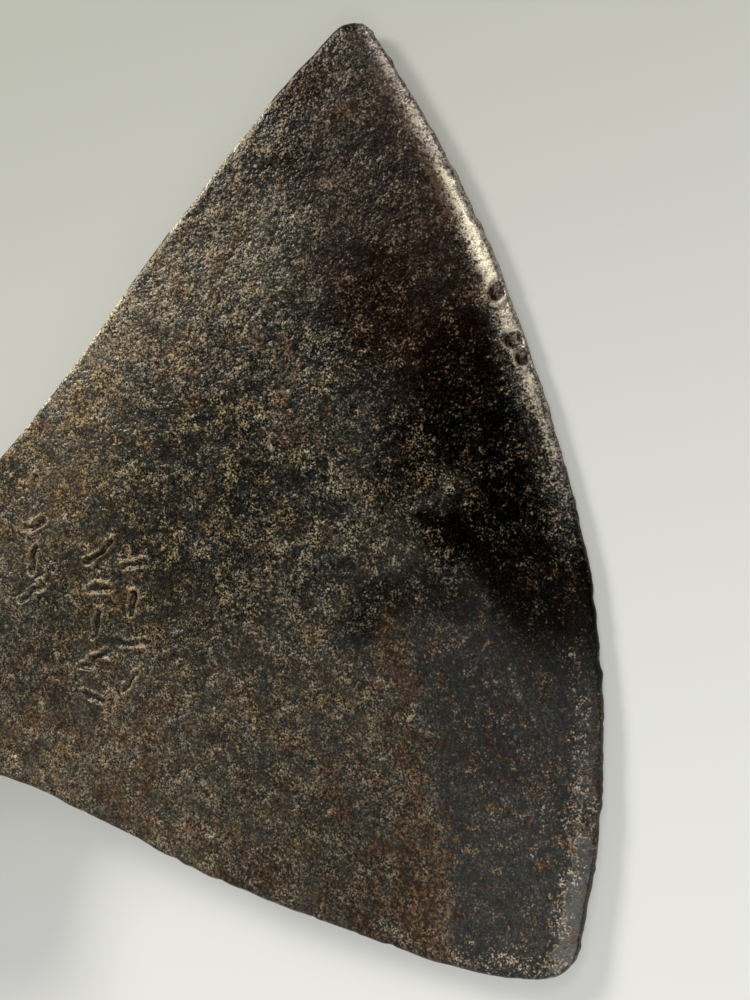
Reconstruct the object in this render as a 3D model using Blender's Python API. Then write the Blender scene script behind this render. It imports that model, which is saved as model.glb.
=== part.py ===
"""Antique broad axe head: one forged iron solid with a haft eye, lying on its side.

The head is drawn in its own frame first, in millimetres: X runs from the poll to
the cutting edge with 0 at the middle of the eye, Y runs along the haft from the
heel to the toe, and Z is the thickness.  It is then tipped about Y until the
lower cheek and the cutting edge both touch the floor.
"""

import math

import bmesh
import bpy
import numpy as np

MM = 0.001

# Sizes along X, on the head's own axis.
POLL_X = -34.0
EDGE_X = 218.4
BEVEL_WIDTH = 5.5

# The cutting edge: two arcs that share a tangent at the apex.
APEX_Y = -4.6
TOE_ARC_RADIUS = 333.0
HEEL_ARC_RADIUS = 194.0
TOE_CORNER_RADIUS = 6.5
HEEL_CORNER_RADIUS = 11.0

# The sections are straight at the eye and follow the cutting edge in the blade.
BOW_STARTS_X = 30.0
BOW_FULL_X = 140.0

# The outline towards the toe and towards the heel, as (X, Y).  Each starts at
# the flat end of the eye, dips to the neck and flares to the corner.
TOE_OUTLINE = (
    (POLL_X, 45.0), (20.0, 45.0), (27.0, 43.2), (36.0, 35.5), (47.0, 31.4),
    (60.0, 34.2), (80.0, 45.2), (105.0, 61.7), (130.0, 79.3), (150.0, 92.4),
    (170.0, 105.0), (190.0, 115.9),
)
HEEL_OUTLINE = (
    (POLL_X, -43.5), (19.0, -43.5), (26.0, -41.6), (34.0, -33.6), (45.0, -28.7),
    (62.0, -33.8), (85.0, -47.4), (110.0, -63.7), (140.0, -79.0), (165.0, -90.8),
    (181.0, -96.1), (190.0, -97.2),
)

# Half of the thickness at places along the axis, up to the bevel's shoulder.
HALF_THICKNESS = (
    (POLL_X, 18.5), (-20.0, 22.2), (-4.0, 23.4), (12.0, 22.2), (28.0, 17.2),
    (45.0, 11.2), (60.0, 8.4), (100.0, 5.3), (150.0, 3.8), (EDGE_X - BEVEL_WIDTH, 2.7),
)
EDGE_HALF_THICKNESS = 0.7
BEVEL_END_HALF_THICKNESS = 1.3
BEVEL_END_INSET = 0.6

POLL_ROUND = 3.5
RIM_ROUND = 2.0

# The eye, a tapered oval with its narrower end towards the blade.
EYE_CENTRE_X = -1.5
EYE_LENGTH_HEEL_END = 49.0
EYE_LENGTH_TOE_END = 47.0
EYE_WIDTH_HEEL_END = 29.0
EYE_WIDTH_TOE_END = 27.0
EYE_NARROWING = 0.14
EYE_SIDES = 64
CUTTER_HALF_LENGTH = 60.0

NECK_END_X = 62.0
EYE_AND_NECK_SECTIONS = 26
BLADE_SECTIONS = 19
POINTS_ACROSS = 27
CORNER_STEPS = 8
RIM_STEPS = 2

IRON_COLOUR = (0.051, 0.040, 0.028, 1.0)
IRON_ROUGHNESS = 0.6
IRON_METALLIC = 0.7


def clear_scene():
    for item in list(bpy.data.objects):
        bpy.data.objects.remove(item, do_unlink=True)


def smooth_through(points, places):
    """Cubic Hermite curve through (place, value) points, with no overshoot."""
    x, y = np.array(points, float).T
    steps = np.diff(x)
    slopes = np.diff(y) / steps
    tangents = np.zeros_like(y)
    same_way = slopes[:-1] * slopes[1:] > 0.0
    weight_left = 2.0 * steps[1:] + steps[:-1]
    weight_right = steps[1:] + 2.0 * steps[:-1]
    safe_left = np.where(same_way, slopes[:-1], 1.0)
    safe_right = np.where(same_way, slopes[1:], 1.0)
    harmonic = (weight_left + weight_right) / (weight_left / safe_left + weight_right / safe_right)
    tangents[1:-1] = np.where(same_way, harmonic, 0.0)
    tangents[0] = slopes[0]
    tangents[-1] = slopes[-1]
    span = np.clip(np.searchsorted(x, places, side="right") - 1, 0, len(x) - 2)
    t = (places - x[span]) / steps[span]
    return (
        (2 * t**3 - 3 * t**2 + 1) * y[span]
        + (t**3 - 2 * t**2 + t) * steps[span] * tangents[span]
        + (3 * t**2 - 2 * t**3) * y[span + 1]
        + (t**3 - t**2) * steps[span] * tangents[span + 1]
    )


def edge_recess(y):
    """How far the cutting edge lies behind its apex at a height along the haft."""
    offset = y - APEX_Y
    radius = np.where(offset > 0.0, TOE_ARC_RADIUS, HEEL_ARC_RADIUS)
    return radius - np.sqrt(radius**2 - offset**2)


def bow(axis_x):
    """0 where sections are straight, 1 where they run parallel to the edge."""
    t = np.clip((axis_x - BOW_STARTS_X) / (BOW_FULL_X - BOW_STARTS_X), 0.0, 1.0)
    return t * t * (3.0 - 2.0 * t)


def section_of(x, y):
    """The place on the axis whose section line passes through (x, y)."""
    axis_x = np.array(x, float)
    for _ in range(12):
        axis_x = x + bow(axis_x) * edge_recess(y)
    return axis_x


def corner_arc(outline, side, edge_radius, corner_radius):
    """Round the corner between an outline and the cutting edge's arc.

    The corner circle touches the edge's arc from inside and touches the
    outline.  Its centre is found by sliding it along the inner parallel arc.
    """
    arc_centre = np.array((EDGE_X - edge_radius, APEX_Y))
    turn = side * np.linspace(0.15, 0.75, 2401)
    reach = edge_radius - corner_radius
    centres = arc_centre + reach * np.stack((np.cos(turn), np.sin(turn)), axis=1)
    gaps = np.abs(np.linalg.norm(centres[:, None] - outline[None], axis=2).min(axis=1) - corner_radius)
    inside = centres[:, 1] * side < np.interp(centres[:, 0], outline[:, 0], outline[:, 1] * side)
    best = np.argmin(np.where(inside, gaps, np.inf))
    centre = centres[best]
    touch = np.argmin(np.linalg.norm(outline - centre, axis=1))
    start = math.atan2(*(outline[touch] - centre)[::-1])
    angles = np.linspace(start, turn[best], 60)
    arc = centre + corner_radius * np.stack((np.cos(angles), np.sin(angles)), axis=1)
    return np.concatenate((outline[:touch], arc))


def full_outline(points, side, edge_radius, corner_radius):
    """An outline from the poll to where its rounded corner meets the edge."""
    x = np.linspace(POLL_X, points[-1][0], 1200)
    outline = np.stack((x, smooth_through(points, x)), axis=1)
    return corner_arc(outline, side, edge_radius, corner_radius)


def half_thickness(axis_x):
    """Half of the thickness of the section at a place on the axis."""
    shoulder = EDGE_X - BEVEL_WIDTH
    bevel_end = EDGE_X - BEVEL_END_INSET
    body = smooth_through(HALF_THICKNESS, np.minimum(axis_x, shoulder))
    bevel = np.interp(
        axis_x,
        (shoulder, bevel_end, EDGE_X),
        (HALF_THICKNESS[-1][1], BEVEL_END_HALF_THICKNESS, EDGE_HALF_THICKNESS),
    )
    return np.where(axis_x < shoulder, body, bevel)


def section_places():
    """Places of the sections along the axis, with the poll's rounding first.

    Each is (place, how much the section is drawn in all round).
    """
    places = []
    for turn in np.linspace(0.0, math.pi / 2, 4):
        places.append((POLL_X + POLL_ROUND * (1 - math.cos(turn)), POLL_ROUND * (1 - math.sin(turn))))
    corner_start = EDGE_X - HEEL_CORNER_RADIUS - BEVEL_WIDTH
    eye_and_neck = np.linspace(POLL_X + 2 * POLL_ROUND, NECK_END_X, EYE_AND_NECK_SECTIONS)
    blade = np.linspace(NECK_END_X, corner_start, BLADE_SECTIONS)[1:]
    shoulder = EDGE_X - BEVEL_WIDTH
    corner = shoulder + (corner_start - shoulder) * np.cos(np.linspace(0.0, math.pi / 2, 4))[1:]
    turns = np.linspace(0.0, math.pi / 2, CORNER_STEPS + 1)[1:]
    bevel = shoulder + (BEVEL_WIDTH - BEVEL_END_INSET) * np.sin(turns)
    for place in (*eye_and_neck, *blade, *corner, *bevel, EDGE_X):
        places.append((place, 0.0))
    return places


def section_ring(axis_x, draw_in, toe_outline, heel_outline):
    """Points once round the head's section at a place on its axis."""
    ends = []
    for outline in (heel_outline, toe_outline):
        along = section_of(outline[:, 0], outline[:, 1])
        ends.append(np.interp(axis_x, along, outline[:, 1]))
    low = ends[0] + draw_in
    high = ends[1] - draw_in
    half = float(half_thickness(np.array(axis_x))) - draw_in
    rounding = min(RIM_ROUND, 0.75 * half)
    turns = np.linspace(0.0, math.pi / 2, RIM_STEPS + 1)
    rim_in = rounding * (1 - np.cos(turns))
    rim_z = half - rounding * (1 - np.sin(turns))
    middle = np.linspace(low + rounding, high - rounding, POINTS_ACROSS)[1:-1]
    y = np.concatenate((low + rim_in, middle, (high - rim_in)[::-1]))
    z = np.concatenate((rim_z, np.full(len(middle), half), rim_z[::-1]))
    x = axis_x - bow(np.array(axis_x)) * edge_recess(y)
    upper = np.stack((x, y, z), axis=1)
    lower = upper[::-1] * (1.0, 1.0, -1.0)
    return np.concatenate((upper, lower))


def close_end(mesh, ring, flip):
    """Fill a section with strips from its upper to its lower side."""
    count = len(ring)
    for i in range(count // 2 - 1):
        corners = [ring[i], ring[i + 1], ring[count - 2 - i], ring[count - 1 - i]]
        if flip:
            corners.reverse()
        mesh.faces.new(corners)


def forged_body():
    """The head without its eye, as a loft from the poll to the cutting edge."""
    toe_outline = full_outline(TOE_OUTLINE, 1, TOE_ARC_RADIUS, TOE_CORNER_RADIUS)
    heel_outline = full_outline(HEEL_OUTLINE, -1, HEEL_ARC_RADIUS, HEEL_CORNER_RADIUS)
    mesh = bmesh.new()
    rings = []
    for axis_x, draw_in in section_places():
        points = section_ring(axis_x, draw_in, toe_outline, heel_outline)
        rings.append([mesh.verts.new(point * MM) for point in points])
    for near, far in zip(rings, rings[1:]):
        for i in range(len(near)):
            j = (i + 1) % len(near)
            mesh.faces.new((near[i], far[i], far[j], near[j]))
    close_end(mesh, rings[0], flip=False)
    close_end(mesh, rings[-1], flip=True)
    bmesh.ops.recalc_face_normals(mesh, faces=mesh.faces)
    data = bpy.data.meshes.new("axe_head")
    mesh.to_mesh(data)
    mesh.free()
    return data


def eye_cutter():
    """A tapered oval bar as long as the eye and longer, to cut the haft hole."""
    mesh = bmesh.new()
    loops = []
    for end, length, width in (
        (-1, EYE_LENGTH_HEEL_END, EYE_WIDTH_HEEL_END),
        (1, EYE_LENGTH_TOE_END, EYE_WIDTH_TOE_END),
    ):
        loop = []
        for i in range(EYE_SIDES):
            turn = 2 * math.pi * i / EYE_SIDES
            x = EYE_CENTRE_X + length / 2 * math.cos(turn)
            z = width / 2 * math.sin(turn) * (1 - EYE_NARROWING * math.cos(turn))
            loop.append(mesh.verts.new((x * MM, end * CUTTER_HALF_LENGTH * MM, z * MM)))
        loops.append(loop)
    bmesh.ops.bridge_loops(mesh, edges=[
        mesh.edges.new((loop[i], loop[(i + 1) % EYE_SIDES])) for loop in loops for i in range(EYE_SIDES)
    ])
    for loop in loops:
        mesh.faces.new(loop)
    bmesh.ops.recalc_face_normals(mesh, faces=mesh.faces)
    data = bpy.data.meshes.new("eye_cutter")
    mesh.to_mesh(data)
    mesh.free()
    cutter = bpy.data.objects.new("eye_cutter", data)
    bpy.context.collection.objects.link(cutter)
    cutter.hide_render = True
    cutter.display_type = "WIRE"
    return cutter


def iron():
    material = bpy.data.materials.new("brown_patina_iron")
    material.use_nodes = True
    shader = material.node_tree.nodes["Principled BSDF"]
    shader.inputs["Base Color"].default_value = IRON_COLOUR
    shader.inputs["Roughness"].default_value = IRON_ROUGHNESS
    shader.inputs["Metallic"].default_value = IRON_METALLIC
    return material


def resting_tilt(points):
    """The tip about Y at which the cheek and the bevel's shoulder are level.

    It is the slope of the line that touches the underside at both: the
    steepest from a front point back to the cheek, and the least over all fronts.
    """
    under = points[points[:, 2] < 0.0]
    cheek = under[under[:, 0] < BOW_STARTS_X * MM]
    front = under[under[:, 0] > BOW_FULL_X * MM, None]
    rise = front[..., 2] - cheek[:, 2]
    run = front[..., 0] - cheek[:, 0]
    return float(np.arctan2(rise, run).max(axis=1).min())


def lay_down(head):
    """Tip the head to its rest and put its box's bottom centre at the origin."""
    points = np.array([vertex.co[:] for vertex in head.data.vertices])
    tilt = resting_tilt(points)
    x = points[:, 0] * math.cos(tilt) + points[:, 2] * math.sin(tilt)
    y = points[:, 1]
    z = points[:, 2] * math.cos(tilt) - points[:, 0] * math.sin(tilt)
    head.rotation_euler = (0.0, tilt, 0.0)
    head.location = (-(x.min() + x.max()) / 2, -(y.min() + y.max()) / 2, -z.min())


def axe_head():
    head = bpy.data.objects.new("axe_head", forged_body())
    bpy.context.collection.objects.link(head)
    head.data.materials.append(iron())
    cutter = eye_cutter()
    cutter.parent = head
    cut = head.modifiers.new("haft_eye", "BOOLEAN")
    cut.operation = "DIFFERENCE"
    cut.solver = "EXACT"
    cut.object = cutter
    head.data.shade_smooth()
    head.data.set_sharp_from_angle(angle=math.radians(35))
    lay_down(head)


def main():
    clear_scene()
    axe_head()


main()
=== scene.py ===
"""Antique broad axe head, forged in one piece, lying on its side on a pale floor.

The head is worked out in its own frame, in millimetres: X runs from the poll to
the cutting edge with 0 near the middle of the eye, Y runs along the haft from heel
to toe, and Z is the thickness.  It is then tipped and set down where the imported
solid lies.
"""

from __future__ import annotations

import functools
import itertools
import logging
import math
from dataclasses import dataclass, field
from enum import Enum
from typing import Sequence

import bpy
import numpy as np
from mathutils import Matrix, Vector

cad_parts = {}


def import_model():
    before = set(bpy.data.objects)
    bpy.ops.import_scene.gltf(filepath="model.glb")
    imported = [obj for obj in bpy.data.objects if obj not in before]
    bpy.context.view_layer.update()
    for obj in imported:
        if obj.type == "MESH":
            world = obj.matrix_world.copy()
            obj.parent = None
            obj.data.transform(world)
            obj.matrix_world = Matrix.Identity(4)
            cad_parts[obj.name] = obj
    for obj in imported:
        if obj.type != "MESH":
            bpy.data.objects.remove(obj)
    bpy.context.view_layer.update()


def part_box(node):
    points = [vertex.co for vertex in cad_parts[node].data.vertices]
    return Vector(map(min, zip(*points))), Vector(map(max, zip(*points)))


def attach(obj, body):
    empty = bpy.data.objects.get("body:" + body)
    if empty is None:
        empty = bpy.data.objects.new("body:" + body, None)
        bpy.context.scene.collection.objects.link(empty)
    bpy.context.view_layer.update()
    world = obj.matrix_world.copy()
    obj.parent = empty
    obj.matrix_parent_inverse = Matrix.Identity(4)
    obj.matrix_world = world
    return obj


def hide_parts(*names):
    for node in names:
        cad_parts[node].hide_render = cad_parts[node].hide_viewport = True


Array = np.ndarray
Socket = bpy.types.NodeSocket
Colour = tuple[float, float, float]
Span = tuple[float, float]

MM = 0.001
LOG = logging.getLogger("axe_head")


def smooth_through(points: Sequence[tuple[float, float]], places: Array) -> Array:
    """Cubic Hermite curve through points, with no overshoot between them.

    The tangent at a point is the weighted harmonic mean of the slopes on its two
    sides, or level where they differ in sign.

    Args:
        points: (place, value) pairs in rising order of place.
        places: where the curve is read.

    Returns:
        The curve's values at the places.
    """
    x, y = np.array(points, float).T
    steps = np.diff(x)
    slopes = np.diff(y) / steps
    same_way = slopes[:-1] * slopes[1:] > 0.0
    left = np.where(same_way, slopes[:-1], 1.0)
    right = np.where(same_way, slopes[1:], 1.0)
    weight_left = 2.0 * steps[1:] + steps[:-1]
    weight_right = steps[1:] + 2.0 * steps[:-1]
    harmonic = (weight_left + weight_right) / (weight_left / left + weight_right / right)
    tangents = np.concatenate(([slopes[0]], np.where(same_way, harmonic, 0.0), [slopes[-1]]))
    span = np.clip(np.searchsorted(x, places, side="right") - 1, 0, len(x) - 2)
    t = (places - x[span]) / steps[span]
    return (
        (2 * t**3 - 3 * t**2 + 1) * y[span]
        + (t**3 - 2 * t**2 + t) * steps[span] * tangents[span]
        + (3 * t**2 - 2 * t**3) * y[span + 1]
        + (t**3 - t**2) * steps[span] * tangents[span + 1]
    )


def ease(low: float, high: float, value: Array) -> Array:
    """0 below low, 1 above high, and a smooth S between; high may be the smaller."""
    t = np.clip((value - low) / (high - low), 0.0, 1.0)
    return t * t * (3.0 - 2.0 * t)


def bell(value: Array, middle: float, width: float) -> Array:
    """exp(-((value - middle) / width)^2), which is 1 at the middle."""
    return np.exp(-(((value - middle) / width) ** 2))


def hashed(cells: Array, seed: int) -> Array:
    """A repeatable random value for each cube of space.

    The three whole numbers and the seed are multiplied by large odd numbers, added
    up, and mixed by shifts and products that keep their low 32 bits.

    Args:
        cells: whole numbers, three in a row.
        seed: picks the pattern.

    Returns:
        Values from 0 to 1, one for each row.
    """
    mask = 0xFFFFFFFF
    mixed = cells @ np.array((374761393, 668265263, 1442695041), np.int64) + seed * 974634777
    mixed = ((mixed & mask) ^ ((mixed & mask) >> 13)) * 1274126177 & mask
    mixed = (mixed ^ (mixed >> 15)) * 739982445 & mask
    return (mixed ^ (mixed >> 16)) / mask


def noise(points: Array, cell: float, seed: int) -> Array:
    """Smooth noise from -1 to 1.

    Random values at the corners of cubes are blended with a fifth-power S.

    Args:
        points: positions, one a row.
        cell: the cubes' width, in the positions' units.
        seed: picks the pattern.

    Returns:
        One value for each position.
    """
    scaled = points / cell
    base = np.floor(scaled).astype(np.int64)
    t = scaled - base
    t = t * t * t * (t * (t * 6.0 - 15.0) + 10.0)
    total = np.zeros(len(points))
    for corner in itertools.product((0, 1), repeat=3):
        weight = np.where(corner, t, 1.0 - t).prod(axis=1)
        total += weight * hashed(base + np.array(corner), seed)
    return 2.0 * total - 1.0


def layered_noise(points: Array, cell: float, seed: int, octaves: int, fall: float = 0.5) -> Array:
    """Sum of noise octaves, each half as wide and `fall` times as strong."""
    return sum(fall**k * noise(points, cell / 2**k, seed + 17 * k) for k in range(octaves))


def craters(points: Array, cell: float, radius: float, share: float, seed: int) -> Array:
    """Depth from 0 to 1 of round pits scattered in space.

    Each cube of space may hold one ball at a random place, and the depth at a
    point is (1 - (distance / ball radius)^2)^2 for the ball that gives most.

    Args:
        points: positions, one a row.
        cell: the cubes' width.
        radius: the largest ball's radius; the smallest is half of it.
        share: the share of cubes that hold a ball.
        seed: picks the pattern.

    Returns:
        One depth for each position.
    """
    scaled = points / cell
    base = np.floor(scaled).astype(np.int64)
    depth = np.zeros(len(points))
    for step in itertools.product((-1, 0, 1), repeat=3):
        home = base + np.array(step)
        holds = hashed(home, seed) < share
        near = np.flatnonzero(holds)
        cells = home[near]
        centre = cells + np.stack([hashed(cells, seed + k) for k in (1, 2, 3)], axis=1)
        size = radius / cell * (0.5 + 0.5 * hashed(cells, seed + 4))
        gap = np.linalg.norm(scaled[near] - centre, axis=1) / size
        depth[near] = np.maximum(depth[near], np.clip(1.0 - gap**2, 0.0, 1.0) ** 2)
    return depth


@dataclass(frozen=True)
class HeadForm:
    """The forged head's outline, sections and thickness, in its own frame.

    Section lines are straight across the eye and run parallel to the bowed
    cutting edge in the blade.
    """

    poll: float = -34.0
    edge: float = 218.4
    bevel_width: float = 5.5
    apex_y: float = -4.6
    toe_arc_radius: float = 333.0
    heel_arc_radius: float = 194.0
    toe_corner_radius: float = 6.5
    heel_corner_radius: float = 11.0
    bow_starts: float = 30.0
    bow_full: float = 140.0
    section_rounds: int = 12
    outline_points: int = 1200
    corner_turns: Span = (0.15, 0.75)
    corner_tries: int = 2401
    corner_points: int = 200
    toe_outline: tuple = (
        (-34.0, 45.0), (20.0, 45.0), (27.0, 43.2), (36.0, 35.5), (47.0, 31.4),
        (60.0, 34.2), (80.0, 45.2), (105.0, 61.7), (130.0, 79.3), (150.0, 92.4),
        (170.0, 105.0), (190.0, 115.9),
    )
    heel_outline: tuple = (
        (-34.0, -43.5), (19.0, -43.5), (26.0, -41.6), (34.0, -33.6), (45.0, -28.7),
        (62.0, -33.8), (85.0, -47.4), (110.0, -63.7), (140.0, -79.0), (165.0, -90.8),
        (181.0, -96.1), (190.0, -97.2),
    )
    half_thicknesses: tuple = (
        (-34.0, 18.5), (-20.0, 22.2), (-4.0, 23.4), (12.0, 22.2), (28.0, 17.2),
        (45.0, 11.2), (60.0, 8.4), (100.0, 5.3), (150.0, 3.8), (212.9, 2.7),
    )
    blunt_half: float = 1.35
    blunt_depth: float = 1.1
    poll_round: float = 3.5
    rim_round: float = 2.0
    rim_share: float = 0.75
    eye_centre: float = -1.5
    eye_lengths: Span = (49.0, 47.0)
    eye_widths: Span = (29.0, 27.0)
    eye_narrowing: float = 0.14
    eye_taper_half: float = 60.0
    eye_mouth_round: float = 1.4

    def recess(self, y: Array) -> Array:
        """How far the cutting edge lies behind its apex: radius less arc height.

        Args:
            y: heights along the haft.

        Returns:
            One distance for each height.
        """
        offset = y - self.apex_y
        radius = np.where(offset > 0.0, self.toe_arc_radius, self.heel_arc_radius)
        return radius - np.sqrt(radius**2 - offset**2)

    def bow(self, place: Array) -> Array:
        """0 where sections are straight, 1 where they run parallel to the edge."""
        return ease(self.bow_starts, self.bow_full, place)

    def section_of(self, x: Array, y: Array) -> Array:
        """The place on the axis whose section line passes through (x, y).

        It solves place = x + bow(place) * recess(y) by repeated substitution.

        Args:
            x: positions from poll to edge.
            y: positions along the haft.

        Returns:
            The places on the axis.
        """
        place = np.array(x, float)
        for _ in range(self.section_rounds):
            place = x + self.bow(place) * self.recess(y)
        return place

    def outline(self, side: int) -> Array:
        """Outline from the poll to where its rounded corner meets the edge.

        The corner is a circle that touches the edge's arc from inside and the
        outline.  Its centre is found by sliding it along the inner parallel arc.

        Args:
            side: 1 for the toe's outline, -1 for the heel's.

        Returns:
            Points (x, y), in order.
        """
        points = self.toe_outline if side > 0 else self.heel_outline
        arc_radius = self.toe_arc_radius if side > 0 else self.heel_arc_radius
        corner = self.toe_corner_radius if side > 0 else self.heel_corner_radius
        x = np.linspace(self.poll, points[-1][0], self.outline_points)
        line = np.stack((x, smooth_through(points, x)), axis=1)
        turn = side * np.linspace(*self.corner_turns, self.corner_tries)
        reach = arc_radius - corner
        middle = np.array((self.edge - arc_radius, self.apex_y))
        centres = middle + reach * np.stack((np.cos(turn), np.sin(turn)), axis=1)
        gaps = np.abs(np.linalg.norm(centres[:, None] - line[None], axis=2).min(axis=1) - corner)
        inside = centres[:, 1] * side < np.interp(centres[:, 0], line[:, 0], line[:, 1] * side)
        best = np.argmin(np.where(inside, gaps, np.inf))
        touch = np.argmin(np.linalg.norm(line - centres[best], axis=1))
        start = math.atan2(*(line[touch] - centres[best])[::-1])
        angles = np.linspace(start, turn[best], self.corner_points)
        arc = centres[best] + corner * np.stack((np.cos(angles), np.sin(angles)), axis=1)
        return np.concatenate((line[:touch], arc))

    def half_thickness(self, place: Array) -> Array:
        """Half thickness of a section: body, flat bevel, then a quarter ellipse.

        Args:
            place: places of sections on the axis.

        Returns:
            One half thickness for each place.
        """
        shoulder = self.edge - self.bevel_width
        body = smooth_through(self.half_thicknesses, np.minimum(place, shoulder))
        inset = np.clip(self.edge - place, 0.0, None)
        share = np.clip((inset - self.blunt_depth) / (self.bevel_width - self.blunt_depth), 0.0, 1.0)
        bevel = self.blunt_half + share * (self.half_thicknesses[-1][1] - self.blunt_half)
        tip = np.clip(inset / self.blunt_depth, 0.0, 1.0)
        blunt = np.sqrt(1.0 - (1.0 - tip) ** 2)
        return np.where(place < shoulder, body, bevel * blunt)

    def eye_oval(self, turn: Array, y: float, grow: float) -> Array:
        """Point of the eye's wall: an oval, narrower towards the blade.

        Args:
            turn: angle round the eye, 0 towards the blade.
            y: height along the haft, which the eye tapers with.
            grow: how far the oval is widened all round.

        Returns:
            Points (x, z), one for each angle.
        """
        share = (y / self.eye_taper_half + 1.0) / 2.0
        length = self.eye_lengths[0] + share * (self.eye_lengths[1] - self.eye_lengths[0])
        width = self.eye_widths[0] + share * (self.eye_widths[1] - self.eye_widths[0])
        x = self.eye_centre + (length / 2 + grow) * np.cos(turn)
        z = (width / 2 + grow) * np.sin(turn) * (1.0 - self.eye_narrowing * np.cos(turn))
        return np.stack((x, z), axis=1)


@dataclass
class HeadMesh:
    """A closed mesh of the head: rings from the poll to the edge, with the eye.

    A ring runs up the upper face from heel to toe, over the toe rim, back along
    the lower face and over the heel rim.  The first and last rings are folded
    flat on themselves, which closes the poll and the cutting edge.
    """

    form: HeadForm
    across: int = 400
    rim_corner: int = 5
    rim_wall: int = 22
    poll_rings: int = 26
    poll_turns: int = 6
    eye_step: float = 0.9
    blade_step: float = 0.5
    bevel_step: float = 0.4
    tip_rings: int = 9
    eye_patch: Span = (-30.2, 27.0)
    eye_patch_loops: int = 14
    eye_margin: int = 2
    lip_rings: int = 5
    tube_step: float = 1.1

    def places(self) -> tuple[Array, Array]:
        """Places of the rings on the axis and how far each is drawn in.

        Rings stand close together where the form turns: on the poll's face and
        round its border, on the bevel and over the blunt edge.

        Returns:
            The places, and the distances by which the rings shrink.
        """
        form = self.form
        start = form.poll + form.poll_round
        face = np.linspace(form.half_thickness(np.array(form.poll)), form.poll_round, self.poll_rings)
        turns = np.linspace(0.0, math.pi / 2, self.poll_turns + 1)[1:]
        shoulder = form.edge - form.bevel_width
        tip = form.edge - form.blunt_depth
        block = np.arange(start + self.eye_step, form.bow_starts, self.eye_step)
        blade = np.arange(form.bow_starts, shoulder - self.blade_step / 2, self.blade_step)
        bevel = np.arange(shoulder, tip, self.bevel_step)
        end = tip + form.blunt_depth * np.sin(np.linspace(0.0, math.pi / 2, self.tip_rings))
        place = np.concatenate((
            np.full(self.poll_rings, form.poll),
            form.poll + form.poll_round * (1.0 - np.cos(turns)),
            block, blade, bevel, end,
        ))
        drawn = np.concatenate((face, form.poll_round * (1.0 - np.sin(turns))))
        return place, np.pad(drawn, (0, len(place) - len(drawn)))

    def rings(self) -> Array:
        """Points of all rings.

        A ring is a rectangle with rounded corners between the heel's and the toe's
        outline, as thick as its section, and x = place - bow(place) * recess(y).

        Returns:
            Points as (ring, column, 3).
        """
        form = self.form
        place, drawn = self.places()
        ends = []
        for side in (-1, 1):
            line = form.outline(side)
            along = form.section_of(line[:, 0], line[:, 1])
            ends.append(np.interp(place, along, line[:, 1]) - side * drawn)
        low, high = (end[:, None] for end in ends)
        half = (form.half_thickness(place) - drawn)[:, None]
        rounding = np.minimum(form.rim_round, form.rim_share * half)
        turns = np.linspace(0.0, math.pi / 2, self.rim_corner + 1)[None, :-1]
        fall = np.linspace(1.0, -1.0, self.rim_wall)[None]
        upper_y = low + rounding + np.linspace(0.0, 1.0, self.across)[None] * (high - low - 2 * rounding)
        corner_out = rounding * (1.0 - np.sin(turns))
        corner_drop = rounding * (1.0 - np.cos(turns))
        upright = np.zeros((len(place), self.rim_wall))
        rim_inset = np.concatenate((corner_out, upright, corner_out[:, ::-1]), axis=1)
        rim_z = np.concatenate(
            (half - corner_drop, fall * (half - rounding), corner_drop[:, ::-1] - half), axis=1
        )
        y = np.concatenate((upper_y, high - rim_inset, upper_y[:, ::-1], low + rim_inset), axis=1)
        flat = np.broadcast_to(half, upper_y.shape)
        z = np.concatenate((flat, rim_z, -flat, -rim_z), axis=1)
        x = place[:, None] - form.bow(place)[:, None] * form.recess(y)
        return np.stack((x, y, z), axis=2)

    @property
    def rim(self) -> int:
        """Columns in one rim: two rounded corners and the wall between them."""
        return 2 * self.rim_corner + self.rim_wall

    def folded(self, count: int) -> Array:
        """Vertex numbers of the rings, with the first and the last folded flat.

        Args:
            count: how many rings there are.

        Returns:
            Numbers as (ring, column).
        """
        mirror = np.concatenate((
            np.arange(self.across), np.full(self.rim, self.across - 1),
            np.arange(self.across)[::-1], np.zeros(self.rim, int),
        ))
        number = np.arange(count * len(mirror)).reshape(count, len(mirror))
        for ring in (0, count - 1):
            number[ring] = number[ring, mirror]
        return number

    def build(self) -> tuple[Array, Array]:
        """The whole closed mesh, with the eye's two mouths and its wall.

        Rings are joined by quads, a patch at each end of the eye is left out, and
        loops from the patch's border run over the lip and along the eye.

        Returns:
            Vertices, and faces of four numbers, some of which may be equal.
        """
        grid = self.rings()
        number = self.folded(len(grid))
        quads = np.stack((
            number[:-1], number[1:], np.roll(number, -1, axis=1)[1:], np.roll(number, -1, axis=1)[:-1]
        ), axis=2)
        place = self.places()[0]
        first = int(np.searchsorted(place, self.eye_patch[0]))
        last = int(np.searchsorted(place, self.eye_patch[1]))
        margin = self.rim_corner + self.eye_margin
        half_ring = self.across + self.rim
        toe = slice(self.across + margin, half_ring - margin)
        heel = slice(half_ring + self.across + margin, 2 * half_ring - margin)
        keep = np.ones(quads.shape[:2], bool)
        keep[first:last, toe] = False
        keep[first:last, heel] = False
        vertices = [grid.reshape(-1, 3)]
        faces = [quads[keep]]
        toe_edge = self.patch_border(number, first, last, toe.start, toe.stop)
        heel_edge = self.patch_border(number, first, last, heel.stop, heel.start)
        mouths = []
        total = number.size
        for border, side in ((toe_edge, 1), (heel_edge, -1)):
            points, loops = self.mouth(vertices[0][border], border, side, total)
            vertices.append(points)
            total += len(points)
            mouths.append(loops)
            faces.append(self.strip(loops, side > 0))
        tube_points, tube = self.tube(vertices, mouths[0][-1], mouths[1][-1], total)
        vertices.append(tube_points)
        faces.append(self.strip(tube, True))
        numbers = np.concatenate(faces)
        used = np.unique(numbers)
        return np.concatenate(vertices)[used], np.searchsorted(used, numbers)

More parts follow.
